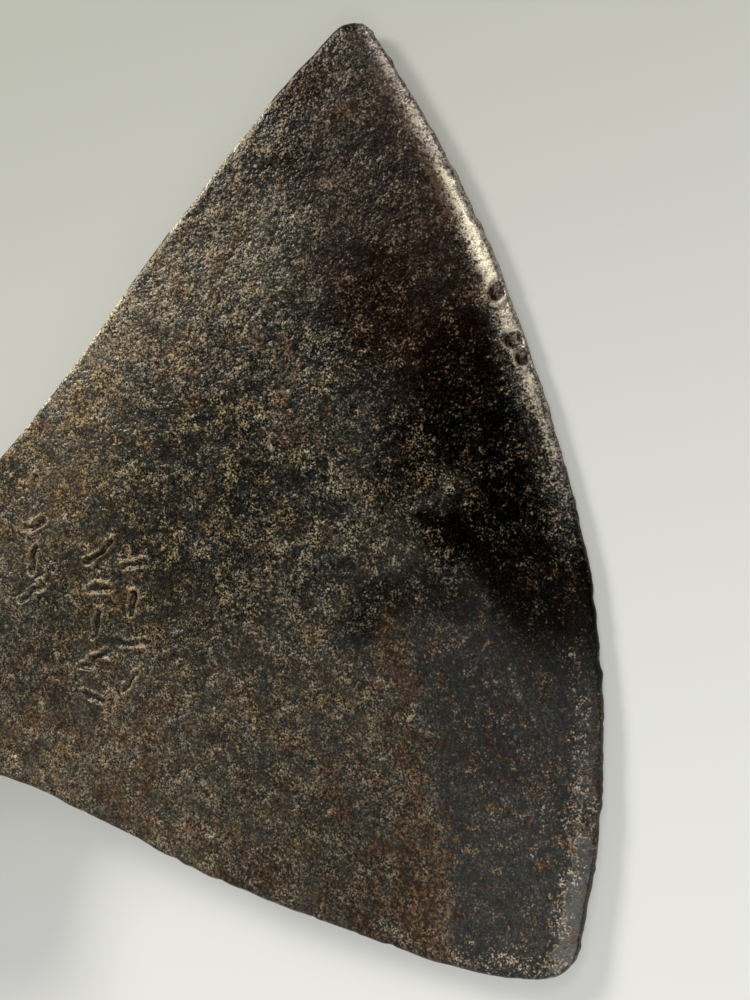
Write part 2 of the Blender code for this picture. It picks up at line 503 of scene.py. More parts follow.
    @staticmethod
    def patch_border(number: Array, first: int, last: int, start: int, stop: int) -> Array:
        """Vertex numbers once round the rim patch that makes room for the eye.

        Args:
            number: vertex numbers as (ring, column).
            first: the patch's first ring.
            last: its last ring.
            start: the column that it starts at.
            stop: the column that it stops at, which may be the smaller.

        Returns:
            The numbers, in order.
        """
        step = 1 if stop > start else -1
        across = np.arange(start, stop, step)
        return np.concatenate((
            number[first:last, start], number[last, across],
            number[last:first:-1, stop], number[first, across + step][::-1],
        ))

    def mouth(self, rim: Array, border: Array, side: int, total: int) -> tuple[Array, Array]:
        """Loops from the patch's border to the eye's wall, over a rounded lip.

        A loop is the border blended towards the oval at the same angle, and the
        last loops follow a quarter circle down into the eye.

        Args:
            rim: the border's points.
            border: the border's vertex numbers.
            side: 1 at the toe end, -1 at the heel end.
            total: the number that the first new vertex gets.

        Returns:
            The new points, and the loops of vertex numbers with the border first.
        """
        form = self.form
        end = form.toe_outline[0][1] if side > 0 else form.heel_outline[0][1]
        across = rim[:, 2] / form.eye_widths[0]
        turn = np.arctan2(across, (rim[:, 0] - form.eye_centre) / form.eye_lengths[0])
        lip = form.eye_mouth_round
        outer = form.eye_oval(turn, end, lip)
        share = np.linspace(0.0, 1.0, self.eye_patch_loops + 1)[1:, None, None]
        flat = rim[None][..., (0, 2)] * (1.0 - share) + outer[None] * share
        line = form.toe_outline if side > 0 else form.heel_outline
        height = smooth_through(line, flat[..., 0].ravel()).reshape(flat.shape[:2])
        loops = [np.stack((flat[..., 0], height, flat[..., 1]), axis=2)]
        for angle in np.linspace(0.0, math.pi / 2, self.lip_rings + 1)[1:]:
            oval = form.eye_oval(turn, end, lip * (1.0 - math.sin(angle)))
            level = end - side * lip * (1.0 - math.cos(angle))
            loops.append(np.stack((oval[:, 0], np.full(len(oval), level), oval[:, 1]), axis=1)[None])
        points = np.concatenate(loops)
        numbers = total + np.arange(points.shape[0] * points.shape[1]).reshape(points.shape[:2])
        return points.reshape(-1, 3), np.concatenate((border[None], numbers))

    def tube(self, vertices: list[Array], top: Array, bottom: Array, total: int) -> tuple[Array, Array]:
        """Loops of the eye's wall, blended straight from one mouth to the other.

        Args:
            vertices: the vertices so far, in blocks.
            top: vertex numbers of the toe mouth's last loop.
            bottom: vertex numbers of the heel mouth's last loop.
            total: the number that the first new vertex gets.

        Returns:
            The new points, and the loops of vertex numbers from mouth to mouth.
        """
        every = np.concatenate(vertices)
        length = np.abs(every[top, 1] - every[bottom, 1]).max()
        steps = max(2, int(length / self.tube_step))
        share = np.linspace(0.0, 1.0, steps + 1)[1:-1, None, None]
        points = every[top][None] * (1.0 - share) + every[bottom][None] * share
        numbers = total + np.arange(points.shape[0] * points.shape[1]).reshape(points.shape[:2])
        return points.reshape(-1, 3), np.concatenate((top[None], numbers, bottom[None]))

    @staticmethod
    def strip(loops: Array, outward: bool) -> Array:
        """Faces between loops that follow each other.

        Args:
            loops: vertex numbers as (loop, column).
            outward: whether the corners keep their order or run the other way.

        Returns:
            Faces of four vertex numbers.
        """
        turned = np.roll(loops, -1, axis=1)
        faces = np.stack((loops[:-1], turned[:-1], turned[1:], loops[1:]), axis=2).reshape(-1, 4)
        return faces if outward else faces[:, ::-1]


class Zone(Enum):
    """Named float attributes that the finish reads from the mesh."""

    # crust: paler crumb crust, which along the toe's outline also holds a painted sheen.
    CRUST = "crust"
    OCHRE = "ochre"
    # painted sheen: paler tones where light falls on the blade.
    HAZE = "painted_sheen"
    STEEL = "steel"
    # dark: a darker patina behind the edge with a painted dark reflection over it.
    DARK = "dark"
    RUST = "rust"
    BROWN = "brown"
    # bright: bare metal along the edge and the toe's rim, with a painted highlight on them.
    BRIGHT = "bright"
    STRIP = "strip"
    SPECKLE = "speckle"
    # hollow: brown oxide in pits, dents and punched troughs, with painted shade in them.
    HOLLOW = "hollow"
    # burr: tan burrs and paler dent floors, with a painted highlight on ridges and lips.
    BURR = "burr"
    # heel: the heel's lower part painted paler, a painted sheen.
    HEEL = "heel"


def along_and_aside(
    x: Array, y: Array, middle: Sequence[float], degrees: float
) -> tuple[Array, Array]:
    """Distances along and across a direction: the offset turned back by its angle.

    Args:
        x: positions from poll to edge.
        y: positions along the haft.
        middle: where the distances are counted from.
        degrees: the direction's angle from X towards Y.

    Returns:
        The distances along the direction, and those to its left.
    """
    angle = math.radians(degrees)
    along = (x - middle[0]) * math.cos(angle) + (y - middle[1]) * math.sin(angle)
    aside = (y - middle[1]) * math.cos(angle) - (x - middle[0]) * math.sin(angle)
    return along, aside


@dataclass(frozen=True)
class Dent:
    """A hollow struck into the bevel's upper side; its depth is a share of the deepest."""

    x: float
    y: float
    long_half: float
    short_half: float
    turn: float
    depth: float
    burr_at: float = 1.2
    burr_width: float = 0.25

    def profile(self, x: Array, y: Array) -> tuple[Array, Array]:
        """Hollow 1 - r^4 inside an oval, and a burr that is a bell over r.

        Args:
            x: positions from poll to edge.
            y: positions along the haft.

        Returns:
            The hollow and the burr at each position, both from 0 to 1.
        """
        along, aside = along_and_aside(x, y, (self.x, self.y), self.turn)
        radius = np.hypot(along / self.long_half, aside / self.short_half)
        return np.clip(1.0 - radius**4, 0.0, 1.0), bell(radius, self.burr_at, self.burr_width)


@dataclass(frozen=True)
class StrokeRow:
    """A row of worn punched strokes, side by side, which spell nothing."""

    start: tuple[float, float]
    end: tuple[float, float]
    slants: tuple[float, ...]
    lengths: tuple[float, ...]
    half_width: float = 0.85
    burr_at: float = 1.5
    burr_width: float = 0.4

    def profile(self, x: Array, y: Array) -> tuple[Array, Array]:
        """Trough 1 - g^2 about each short line, and a burr that is a bell over g.

        Args:
            x: positions from poll to edge.
            y: positions along the haft.

        Returns:
            The trough and the burr at each position, both from 0 to 1.
        """
        trough = np.zeros_like(x)
        burr = np.zeros_like(x)
        steps = zip(np.linspace(self.start, self.end, len(self.slants)), self.slants, self.lengths)
        for middle, slant, length in steps:
            along, aside = along_and_aside(x, y, middle, slant)
            past = np.clip(np.abs(along) - length / 2, 0.0, None)
            gap = np.hypot(past, aside) / self.half_width
            trough = np.maximum(trough, np.clip(1.0 - gap**2, 0.0, 1.0))
            burr = np.maximum(burr, bell(gap, self.burr_at, self.burr_width))
        return trough, burr


class Measure(Enum):
    """What a border is read over: one of the fields of Places."""

    X = "x"
    Y = "y"
    TILT = "tilt"
    INSET = "inset"
    PAST_WELD = "past_weld"
    TOE_GAP = "toe_gap"
    HEEL_GAP = "heel_gap"
    WANDER = "wander"


@dataclass(frozen=True)
class Places:
    """What the relief reads at the head's points, one value for each.

    tilt is the normal's part along Z, inset the distance behind the cutting edge
    and past_weld the distance past the weld; toe_gap and heel_gap are distances
    inside the two outlines.  upper is 1 on the upper side and face is 1 on both
    flat sides.  wander and ripple are coarse and fine noise.
    """

    points: Array
    x: Array
    y: Array
    tilt: Array
    inset: Array
    past_weld: Array
    toe_gap: Array
    heel_gap: Array
    upper: Array
    face: Array
    wander: Array
    ripple: Array

    def above(self, under: float) -> Array:
        """1 on the upper side, and the given share on the underside."""
        return under + (1.0 - under) * self.upper


@dataclass(frozen=True)
class Border:
    """A smooth step over one measure, from nothing at one value to full at another.

    warp and fray are how far wander and ripple shift the measure.
    """

    measure: Measure
    none: float
    full: float
    warp: float = 0.0
    fray: float = 0.0

    def over(self, at: Places) -> Array:
        """From 0 to 1, one value for each point."""
        uneven = self.warp * at.wander + self.fray * at.ripple
        return ease(self.none, self.full, getattr(at, self.measure.value) + uneven)


@dataclass(frozen=True)
class Patch:
    """A stretch of the surface inside all of its borders, and its strength there."""

    strength: float
    borders: tuple[Border, ...]

    def over(self, at: Places) -> Array:
        """Its strength times the product of its borders, one value for each point."""
        return self.strength * math.prod(border.over(at) for border in self.borders)


@dataclass(frozen=True)
class Stripe:
    """A soft stripe at a set distance over one measure, which fades at one end."""

    measure: Measure
    middle: float
    width: float
    end: Border
    fray: float = 0.0

    def over(self, at: Places) -> Array:
        """A bell over the measure, which ripple shifts, times the step at its end."""
        distance = getattr(at, self.measure.value) + self.fray * at.ripple
        return bell(distance, self.middle, self.width) * self.end.over(at)


@dataclass(frozen=True)
class Cloud:
    """A soft oval area of the blade, in the head's frame.

    rim holds the radii between which an area fades, as shares of the oval's; warp
    is how far wander shifts the places, and ragged how far it moves the radius.
    """

    x: float
    y: float
    half_x: float
    half_y: float
    strength: float = 1.0
    rim: Span = (1.35, 0.45)
    warp: float = 0.0
    ragged: float = 0.0

    def radius(self, at: Places) -> Array:
        """Distance from the oval's middle, which is 1 all along its border."""
        x = at.x + self.warp * at.wander
        y = at.y - self.warp * at.wander
        oval = np.hypot((x - self.x) / self.half_x, (y - self.y) / self.half_y)
        return oval + self.ragged * at.wander

    def area(self, at: Places) -> Array:
        """Its strength in the middle, with a smooth step down to 0 over its rim."""
        return self.strength * ease(*self.rim, self.radius(at))

    def spot(self, at: Places) -> Array:
        """Its strength times exp(-radius^2)."""
        return self.strength * np.exp(-self.radius(at) ** 2)


# The heel's part of the blade, where the steel of the edge shows below the weld.
TOWARDS_HEEL = Border(Measure.Y, -2.0, -26.0, 5.0)


@dataclass(frozen=True)
class DarkPatinaAndReflection:
    """The smooth dark zone behind the cutting edge, with its clouds and a pale spot.

    It is a darker patina with a painted dark reflection over it.  It starts by the weld's toe end,
    and further down the haft close to the edge.
    low_border is a span of y at its low end, which lower_by_edge moves down.
    """

    begins: Border = Border(Measure.X, 172.0, 194.0, 7.0)
    low_border: Span = (-27.0, 0.0)
    low_warp: float = 6.0
    lower_by_edge: Patch = Patch(22.0, (Border(Measure.X, 190.0, 207.0),))
    toe_fading: tuple[Patch, ...] = (
        Patch(0.7, (Border(Measure.Y, 36.0, 54.0),)),
        Patch(0.2, (Border(Measure.Y, 75.0, 108.0),)),
    )
    clouds: tuple[Cloud, ...] = (
        Cloud(184.0, 54.0, 14.0, 17.0, 0.66, warp=6.0),
        Cloud(174.0, -10.0, 20.0, 10.0, 0.55, warp=6.0),
        Cloud(150.0, 27.0, 24.0, 9.0, 0.12, warp=6.0),
        Cloud(177.0, 105.0, 11.0, 9.0, 0.5, warp=6.0),
        Cloud(174.0, 87.0, 10.0, 5.0, 0.36, warp=6.0),
    )
    pale: Cloud = Cloud(190.0, 9.0, 8.0, 5.0)
    pale_fray: float = 0.8
    pale_share: float = 0.6
    worn: Patch = Patch(0.8, (
        Border(Measure.INSET, 10.0, 3.5, fray=1.2),
        Border(Measure.Y, -22.0, 8.0),
        Border(Measure.Y, 64.0, 44.0),
    ))

    def pale_spot(self, at: Places) -> Array:
        """A small pale spot in the zone, exp(-radius^2) with a ragged border."""
        return self.pale.spot(at) * np.exp(-self.pale_fray * at.ripple)

    def over(self, at: Places) -> Array:
        """A product of smooth steps, joined by clouds, less the pale spot and the wear.

        Args:
            at: the points.

        Returns:
            Its strength, from 0 to 1.
        """
        low = at.y + self.low_warp * at.wander + self.lower_by_edge.over(at)
        dark = self.begins.over(at) * ease(*self.low_border, low)
        dark *= 1.0 - sum(fading.over(at) for fading in self.toe_fading)
        for cloud in self.clouds:
            dark = np.maximum(dark, cloud.area(at))
        dark *= 1.0 - self.pale_share * np.clip(self.pale_spot(at), 0.0, 1.0)
        return np.clip(dark * (1.0 - self.worn.over(at)), 0.0, 1.0)


@dataclass(frozen=True)
class Coats:
    """Where crust, painted sheen, tints, steel, rust and the dark zone lie on the head.

    Crust gathers along the toe's outline, on the heel's rim and by the neck, and
    less lies towards the toe; along the toe's outline it also stands for a painted
    sheen.  A painted sheen lies on the heel's half, by the neck and inside the toe's
    outline, but less of it by the toe, and the heel's lower part is painted paler.
    Rust follows the weld on the poll's side.  A drift is how much wander adds to a
    coat.
    """

    # A darker patina behind the edge, with a painted dark reflection.
    dark_patina_and_reflection: DarkPatinaAndReflection = DarkPatinaAndReflection()
    umber: Cloud = Cloud(193.0, 76.0, 26.0, 45.0, rim=(1.3, 0.5), ragged=0.35)
    umber_strength: float = 0.95
    umber_drift: float = 0.25
    crust_mean: float = 0.30
    crust_drift: float = 0.12
    crust_on_pale: float = 0.35
    crust_on_umber: float = -0.30
    crust_patches: tuple[Patch, ...] = (
        # Along the toe's outline: more crust and a painted sheen.
        Patch(0.46, (
            Border(Measure.TOE_GAP, 38.0, 4.0, 8.0),
            Border(Measure.X, 165.0, 110.0),
            Border(Measure.X, 70.0, 105.0),
        )),
        Patch(0.12, (Border(Measure.HEEL_GAP, 12.0, 3.0, 4.0),)),
        Patch(0.3, (Border(Measure.X, 140.0, 95.0), Border(Measure.Y, -5.0, -32.0))),
        Patch(-0.42, (Border(Measure.Y, 66.0, 96.0), Border(Measure.X, 206.0, 190.0))),
    )
    smooth_cloud: Cloud = Cloud(140.0, 47.0, 52.0, 12.0, -0.22, rim=(1.3, 0.4), ragged=0.4)
    crumb_clouds: tuple[Cloud, ...] = (
        Cloud(184.0, 93.0, 6.0, 4.0, 0.35, warp=5.0),
        Cloud(168.0, 93.0, 8.0, 4.0, 0.35, warp=5.0),
        Cloud(160.0, 80.0, 8.0, 7.0, 0.25, warp=5.0),
    )
    tan_mean: float = 0.3
    tan: Cloud = Cloud(112.0, 35.0, 50.0, 42.0, 0.75, rim=(1.2, 0.3), ragged=0.5)
    # Painted sheen: paler on the heel's half, by the neck and inside the toe's outline, less by the toe.
    painted_sheen_patches: tuple[Patch, ...] = (
        Patch(1.0, (Border(Measure.Y, 12.0, -34.0, 8.0),)),
        Patch(0.35, (Border(Measure.X, 122.0, 92.0, 7.0),)),
        Patch(0.85, (Border(Measure.TOE_GAP, 58.0, 12.0, 8.0), Border(Measure.X, 186.0, 162.0, 7.0))),
        Patch(-0.51, (
            Border(Measure.TOE_GAP, 58.0, 12.0, 8.0),
            Border(Measure.X, 186.0, 162.0, 7.0),
            Border(Measure.Y, 70.0, 96.0),
        )),
    )
    steel: Patch = Patch(1.0, (Border(Measure.PAST_WELD, -3.0, 2.0), TOWARDS_HEEL))
    # Painted sheen: the gain makes the heel's lower part paler.
    heel: Patch = Patch(1.0, (Border(Measure.Y, -25.0, -85.0, 5.0), Border(Measure.X, 150.0, 185.0)))
    rust_drift: float = 0.25
    rust_patches: tuple[Patch, ...] = (
        Patch(0.14, (TOWARDS_HEEL,)),
        Patch(0.38, (
            Border(Measure.PAST_WELD, -16.0, -3.0),
            Border(Measure.PAST_WELD, 1.5, -0.5),
            TOWARDS_HEEL,
        )),
    )
    rust_clouds: tuple[Cloud, ...] = (
        Cloud(157.0, -66.0, 14.0, 18.0, 0.45),
        Cloud(88.0, -5.0, 22.0, 30.0, 0.15),
        Cloud(198.0, 58.0, 9.0, 34.0, 0.15),
        Cloud(209.0, 41.5, 3.0, 6.0, 0.4),
    )

    def zones(self, at: Places) -> dict[Zone, Array]:
        """Sums of patches, clouds and drifts.

        Args:
            at: the points.

        Returns:
            Each coat's strength.
        """
        dark = self.dark_patina_and_reflection.over(at)
        umber = self.umber.area(at)
        crust = self.crust_mean + self.crust_drift * at.wander + self.smooth_cloud.area(at)
        crust += self.crust_on_pale * self.dark_patina_and_reflection.pale_spot(at) + self.crust_on_umber * umber
        crust += sum(patch.over(at) for patch in self.crust_patches)
        crust += sum(cloud.spot(at) for cloud in self.crumb_clouds)
        # Painted sheen.
        painted_sheen = sum(patch.over(at) for patch in self.painted_sheen_patches)
        rust = self.rust_drift * at.wander + sum(patch.over(at) for patch in self.rust_patches)
        rust += sum(cloud.spot(at) for cloud in self.rust_clouds)
        return {
            Zone.CRUST: crust,
            Zone.OCHRE: self.tan_mean + self.tan.area(at),
            Zone.HAZE: np.clip(painted_sheen, 0.0, 1.0) * (1.0 - dark),
            Zone.STEEL: self.steel.over(at),
            Zone.DARK: dark,
            Zone.RUST: rust,
            Zone.BROWN: self.umber_strength * umber + self.umber_drift * at.wander,
            Zone.HEEL: self.heel.over(at),
        }


@dataclass(frozen=True)
class Wear:
    """Bare metal and a painted highlight along the edge and the toe's rim, the edge's own strip, and
    specks.

    along is how bare and how brightly lit the edge is painted over y, brightest on
    the toe's half where the light falls, and reach how far the bare strip goes in
    from the edge.  The toe's rim is painted bright where it turns down, as bare metal
    and a painted highlight.  Specks lie in a band behind the edge and in a hem inside
    the heel's outline.
    """

    # Bare metal and painted highlight, strongest on the toe's half of the bevel.
    along: tuple = (
        (-60.0, 0.0), (-22.0, 0.0), (-5.0, 0.2), (12.0, 0.42), (25.0, 0.6),
        (40.0, 0.78), (52.0, 0.8), (68.0, 0.75), (80.0, 0.61), (92.0, 0.39),
        (106.0, 0.28), (116.0, 0.14), (125.0, 0.0),
    )
    along_warp: float = 4.0
    strength: float = 0.76
    reach: float = 1.9
    reach_warp: float = 0.4
    halo: Patch = Patch(0.2, (Border(Measure.INSET, 8.5, 2.0),))
    dull_lip: Patch = Patch(0.4, (Border(Measure.INSET, 1.7, 0.5),))
    underside: float = 0.2
    # The toe's rim where it turns down: bare metal and a painted highlight where light catches it.
    toe_rim_highlight: Patch = Patch(0.9, (
        Border(Measure.TILT, 0.99, 0.9),
        Border(Measure.TILT, 0.1, 0.5),
        Border(Measure.X, 182.0, 164.0),
        Border(Measure.X, 45.0, 75.0),
        Border(Measure.TOE_GAP, 5.5, 1.5),
        Border(Measure.WANDER, -0.3, 0.05),
    ))
    strip: Patch = Patch(1.0, (
        Border(Measure.INSET, 2.9, 1.3, fray=0.3),
        Border(Measure.Y, -12.0, 34.0),
    ))
    strip_underside: float = 0.3
    speck_band: Stripe = Stripe(Measure.INSET, 5.0, 1.8, Border(Measure.Y, 30.0, -10.0), fray=0.8)
    speck_hem: Stripe = Stripe(Measure.HEEL_GAP, 3.5, 2.4, Border(Measure.X, 140.0, 175.0))
    speck_share: float = 0.55
    heel_specks: Patch = Patch(0.3, (Border(Measure.Y, -40.0, -80.0),))
    stray_specks: Patch = Patch(0.12, (TOWARDS_HEEL,))

    def zones(self, at: Places) -> dict[Zone, Array]:
        """Bells and steps over the distance behind the edge, times shares along it.

        Args:
            at: the points.

        Returns:
            Each kind of wear's strength.
        """
        past = np.clip(at.inset + self.reach_warp * at.wander - self.reach, 0.0, None)
        worn = self.strength * bell(past, 0.0, self.reach) + self.halo.over(at)
        worn *= 1.0 - self.dull_lip.over(at)
        along = np.clip(at.y + self.along_warp * at.wander, self.along[0][0], self.along[-1][0])
        bright = worn * smooth_through(self.along, along) * at.above(self.underside)
        speckle = np.maximum(self.speck_band.over(at), self.speck_hem.over(at))
        speckle *= self.speck_share + self.heel_specks.over(at)
        return {
            Zone.BRIGHT: bright + self.toe_rim_highlight.over(at),
            Zone.STRIP: self.strip.over(at) * at.above(self.strip_underside),
            Zone.SPECKLE: speckle + self.stray_specks.over(at) * (1.0 + at.wander),
        }


@dataclass(frozen=True)
class Waves:
    """Layered noise: its widest cells in millimetres, its layers and its strength."""

    cell: float
    seed: int
    octaves: int = 1
    strength: float = 1.0

    def at(self, points: Array) -> Array:
        """The noise times its strength, one value for each position."""
        return self.strength * layered_noise(points, self.cell, self.seed, self.octaves)


@dataclass(frozen=True)
class Pits:
    """Round pits of one size, with their depth and how far they darken the scale: oxide and painted shade.
    """

    cell: float
    radius: float
    share: float
    seed: int
    depth: float
    shade: float = 0.0

    def at(self, points: Array) -> Array:
        """From 0 outside the pits to 1 at their middle, one value for each position."""
        return craters(points, self.cell, self.radius, self.share, self.seed)


@dataclass(frozen=True)
class Blows:
    """Dents in the bevel and rows of punched strokes, on the upper side alone.

    Depths and burrs are in millimetres.  The others say how strongly a zone of the
    finish takes part in a stroke, in a dent or in a dent's lip: painted shade with
    oxide in the hollows, and painted highlight with tan on the burrs and lips.
    """

    dents: tuple[Dent, ...] = (
        Dent(212.3, 47.4, 2.3, 1.9, 70.0, 0.75),
        Dent(213.9, 36.3, 2.5, 2.0, -20.0, 0.8),
        Dent(214.7, 32.3, 1.7, 1.9, 0.0, 1.0),
        Dent(216.0, 30.3, 0.9, 0.8, 0.0, 0.5),
        Dent(206.6, -64.9, 1.3, 1.9, 0.0, 0.5),
    )
    strokes: tuple[StrokeRow, ...] = (
        StrokeRow((87.0, 33.0), (80.5, 9.0), (70.0, 14.0, 62.0, 20.0), (6.5, 5.0, 6.0, 7.0)),
        StrokeRow(
            (101.5, 14.5), (92.0, -19.0), (24.0, -8.0, 66.0, 12.0, -30.0), (8.5, 5.5, 6.0, 7.5, 5.5)
        ),
        StrokeRow((110.5, 9.5), (103.0, -17.5), (4.0, 74.0, -12.0, 30.0), (5.5, 5.0, 7.0, 5.0)),
    )
    dent_warp: float = 0.25
    dent_depth: float = 1.6
    dent_burr: float = 0.3
    stroke_warp: Waves = Waves(3.0, 81, 2, 0.7)
    stroke_depth: float = 0.6
    stroke_burr: float = 0.55
    stroke_share: float = 0.75
    stroke_fading: Waves = Waves(7.0, 51, strength=0.45)
    stroke_shade: float = 0.8
    dent_shade: float = 1.4
    dent_shine: float = 0.35
    dent_crust: float = 0.7
    dent_strip: float = -0.6
    lip_shine: float = 0.75
    lip_highlight: float = 0.1

    def profiles(self, at: Places) -> tuple[Array, Array, Array, Array]:
        """The deepest hollow and the highest burr that dents and strokes leave.

        Args:
            at: the points.

        Returns:
            The dents' hollows as shares of the deepest, their burrs, the strokes'
            troughs and their burrs.
        """
        sunk, lip, cut, ridge = np.zeros((4, len(at.x)))
        shift = self.dent_warp * at.ripple
        for dent in self.dents:
            hollow, burr = dent.profile(at.x + shift, at.y - shift)
            sunk = np.maximum(sunk, dent.depth * hollow)
            lip = np.maximum(lip, burr)
        warp = self.stroke_warp.at(at.points)
        for row in self.strokes:
            trough, burr = row.profile(at.x + warp, at.y - warp)
            cut = np.maximum(cut, trough)
            ridge = np.maximum(ridge, burr)
        return sunk, lip, cut, ridge

    def strike(self, at: Places, zones: dict[Zone, Array]) -> Array:
        """Paint shade in hollows and highlights on burrs, put crust in the dents, and press them in.

        Args:
            at: the points.
            zones: the finish's zones, which are changed.

        Returns:
            Moves along the normals, in millimetres.
        """
        sunk, lip, cut, ridge = self.profiles(at)
        side = at.face * at.upper
        faded = self.stroke_share + self.stroke_fading.at(at.points)
        zones[Zone.HOLLOW] += side * (self.stroke_shade * cut + self.dent_shade * sunk)
        zones[Zone.BURR] = side * (faded * ridge + self.lip_shine * lip + self.dent_shine * sunk)
        zones[Zone.STRIP] *= 1.0 + self.dent_strip * side * sunk
        zones[Zone.CRUST] += self.dent_crust * side * sunk
        zones[Zone.BRIGHT] += self.lip_highlight * side * lip
        stroke = faded * (self.stroke_burr * ridge - self.stroke_depth * cut)
        return side * (stroke + self.dent_burr * lip - self.dent_depth * sunk)


@dataclass(frozen=True)
class Relief:
    """Everything that forging, use and rust did to the surface, in millimetres.

    weld_warp and weld_fray are how far wander and ripple shift the weld's line.  A
    smoothing is the share of crust relief and of pits that a finish takes away.
    """

    form: HeadForm
    coats: Coats = Coats()
    wear: Wear = Wear()
    blows: Blows = Blows()
    weld_heel: tuple[float, float] = (169.0, -90.0)
    weld_toe: tuple[float, float] = (170.5, -8.0)
    weld_bulge: float = 8.0
    weld_warp: float = 2.0
    weld_fray: float = 1.0
    outline_end: float = 190.0
    upper_tilt: Span = (-0.4, 0.4)
    upper_lean: float = 0.2
    face_tilt: Span = (0.3, 0.8)
    wander_waves: Waves = Waves(16.0, 301, 3)
    ripple_waves: Waves = Waves(3.5, 305, 2)
    forging_waves: tuple[Waves, ...] = (Waves(34.0, 11, 2, 0.28), Waves(11.0, 12, 2, 0.15))
    crust_waves: tuple[Waves, ...] = (Waves(4.4, 21, 2, 0.18), Waves(1.7, 23, strength=0.10))
    edge_nibbles: tuple[Waves, ...] = (Waves(2.6, 61, strength=0.26), Waves(1.2, 62, strength=0.13))
    rim_hammering: tuple[Waves, ...] = (Waves(13.0, 71, strength=0.22), Waves(4.2, 72, strength=0.16))
    large_pits: Pits = Pits(8.0, 3.2, 0.4, 31, depth=0.30, shade=0.5)
    middle_pits: Pits = Pits(4.0, 1.9, 0.5, 37, depth=0.26, shade=0.6)
    small_pits: Pits = Pits(2.2, 1.15, 0.5, 43, depth=0.18, shade=0.6)
    chips: Pits = Pits(6.0, 2.0, 0.25, 63, depth=0.5)
    off_edge: Border = Border(Measure.INSET, 0.8, 4.0)
    on_edge: Border = Border(Measure.INSET, 1.8, 0.3)
    off_poll: Border = Border(Measure.X, 20.0, 60.0)
    steel_smoothing: float = 0.65
    umber_smoothing: float = 0.5
    edge_smoothing: float = 0.65
    toe_smoothing: Patch = Patch(0.4, (Border(Measure.Y, 15.0, 50.0),))
    groove_depth: float = 0.28
    weld_step: float = 0.16
    step_run: Span = (0.0, -3.0)
    edge_set_back: float = 0.18
    rim_set_back: float = 0.2

    def weld(self, x: Array, y: Array) -> Array:
        """Distance of points past the weld line, towards the cutting edge.

        The line bulges towards the edge between its two ends as a parabola.

        Args:
            x: positions from poll to edge.
            y: positions along the haft.

        Returns:
            One distance for each position, below 0 on the poll's side.
        """
        share = (y - self.weld_heel[1]) / (self.weld_toe[1] - self.weld_heel[1])
        line = self.weld_heel[0] + share * (self.weld_toe[0] - self.weld_heel[0])
        line = line + 4.0 * self.weld_bulge * np.clip(share * (1.0 - share), -0.1, 0.25)
        return x - line

    def places(self, points: Array, normals: Array) -> Places:
        """Measure the points against the head's form.

        Args:
            points: positions in the head's frame.
            normals: unit normals at them.

        Returns:
            What the zones and the carving read.
        """
        form = self.form
        x, y, z = points.T
        tilt = normals[:, 2]
        wander = self.wander_waves.at(points)
        ripple = self.ripple_waves.at(points)
        along = np.clip(x, form.poll, self.outline_end)
        return Places(
            points=points, x=x, y=y, tilt=tilt,
            inset=form.edge - form.section_of(x, y),
            past_weld=self.weld(x, y) - self.weld_warp * wander - self.weld_fray * ripple,
            toe_gap=smooth_through(form.toe_outline, along) - y,
            heel_gap=y - smooth_through(form.heel_outline, along),
            upper=ease(*self.upper_tilt, tilt + self.upper_lean * np.sign(z)),
            face=ease(*self.face_tilt, np.abs(tilt)),
            wander=wander, ripple=ripple,
        )

    def borders(self, at: Places) -> Array:
        """The nibbled cutting edge and the hammered rims of the blade.

        Args:
            at: the points.

        Returns:
            Moves along the normals, in millimetres.
        """
        points = at.points
        edge = self.on_edge.over(at)
        move = edge * (sum(waves.at(points) for waves in self.edge_nibbles) - self.edge_set_back)
        move -= edge * self.chips.depth * self.chips.at(points)
        flank = (1.0 - at.face) * self.off_poll.over(at) * (1.0 - edge)
        return move + flank * (sum(waves.at(points) for waves in self.rim_hammering) - self.rim_set_back)

    def roughness(self, at: Places, zones: dict[Zone, Array]) -> Array:
        """How much of the crust's relief and of the pits is left.

        Steel, wax and a worn edge are smoother, and so is the toe's half.

        Args:
            at: the points.
            zones: the finish's zones.

        Returns:
            A share for each point.
        """
        rough = 1.0 - self.steel_smoothing * zones[Zone.STEEL]
        rough *= 1.0 - self.umber_smoothing * np.clip(zones[Zone.BROWN], 0.0, 1.0)
        rough *= 1.0 - self.edge_smoothing * (1.0 - self.off_edge.over(at))
        return rough * (1.0 - self.toe_smoothing.over(at))

    def carve(self, points: Array, normals: Array) -> tuple[Array, dict[Zone, Array]]:
        """How far each point moves along its normal, and the finish's zones.

        The move is the sum of forging waves, crust, three sizes of pits, a groove
        and a step at the weld, dents, strokes and the blade's borders.

        Args:
            points: positions in the head's frame.
            normals: unit normals at them.

        Returns:
            The moves, and each zone's strength at each point.
        """
        at = self.places(points, normals)
        zones = self.coats.zones(at) | self.wear.zones(at)
        pits = (
            (self.large_pits, self.large_pits.at(points) * self.off_edge.over(at)),
            (self.middle_pits, self.middle_pits.at(points)),
            (self.small_pits, self.small_pits.at(points)),
        )
        rough = self.roughness(at, zones)
        move = sum(waves.at(points) for waves in self.forging_waves)
        move += rough * sum(waves.at(points) for waves in self.crust_waves)
        move -= rough * sum(kind.depth * sunken for kind, sunken in pits)
        groove = np.exp(-at.past_weld**2)
        step = ease(*self.step_run, at.past_weld)
        weld = self.weld_step * step - self.groove_depth * groove
        move += TOWARDS_HEEL.over(at) * at.face * weld
        # Oxide and painted shade in the pits.
        zones[Zone.HOLLOW] = sum(kind.shade * sunken for kind, sunken in pits)
        move += self.blows.strike(at, zones) + self.borders(at)
        return move, {zone: np.clip(values, 0.0, 1.0) for zone, values in zones.items()}


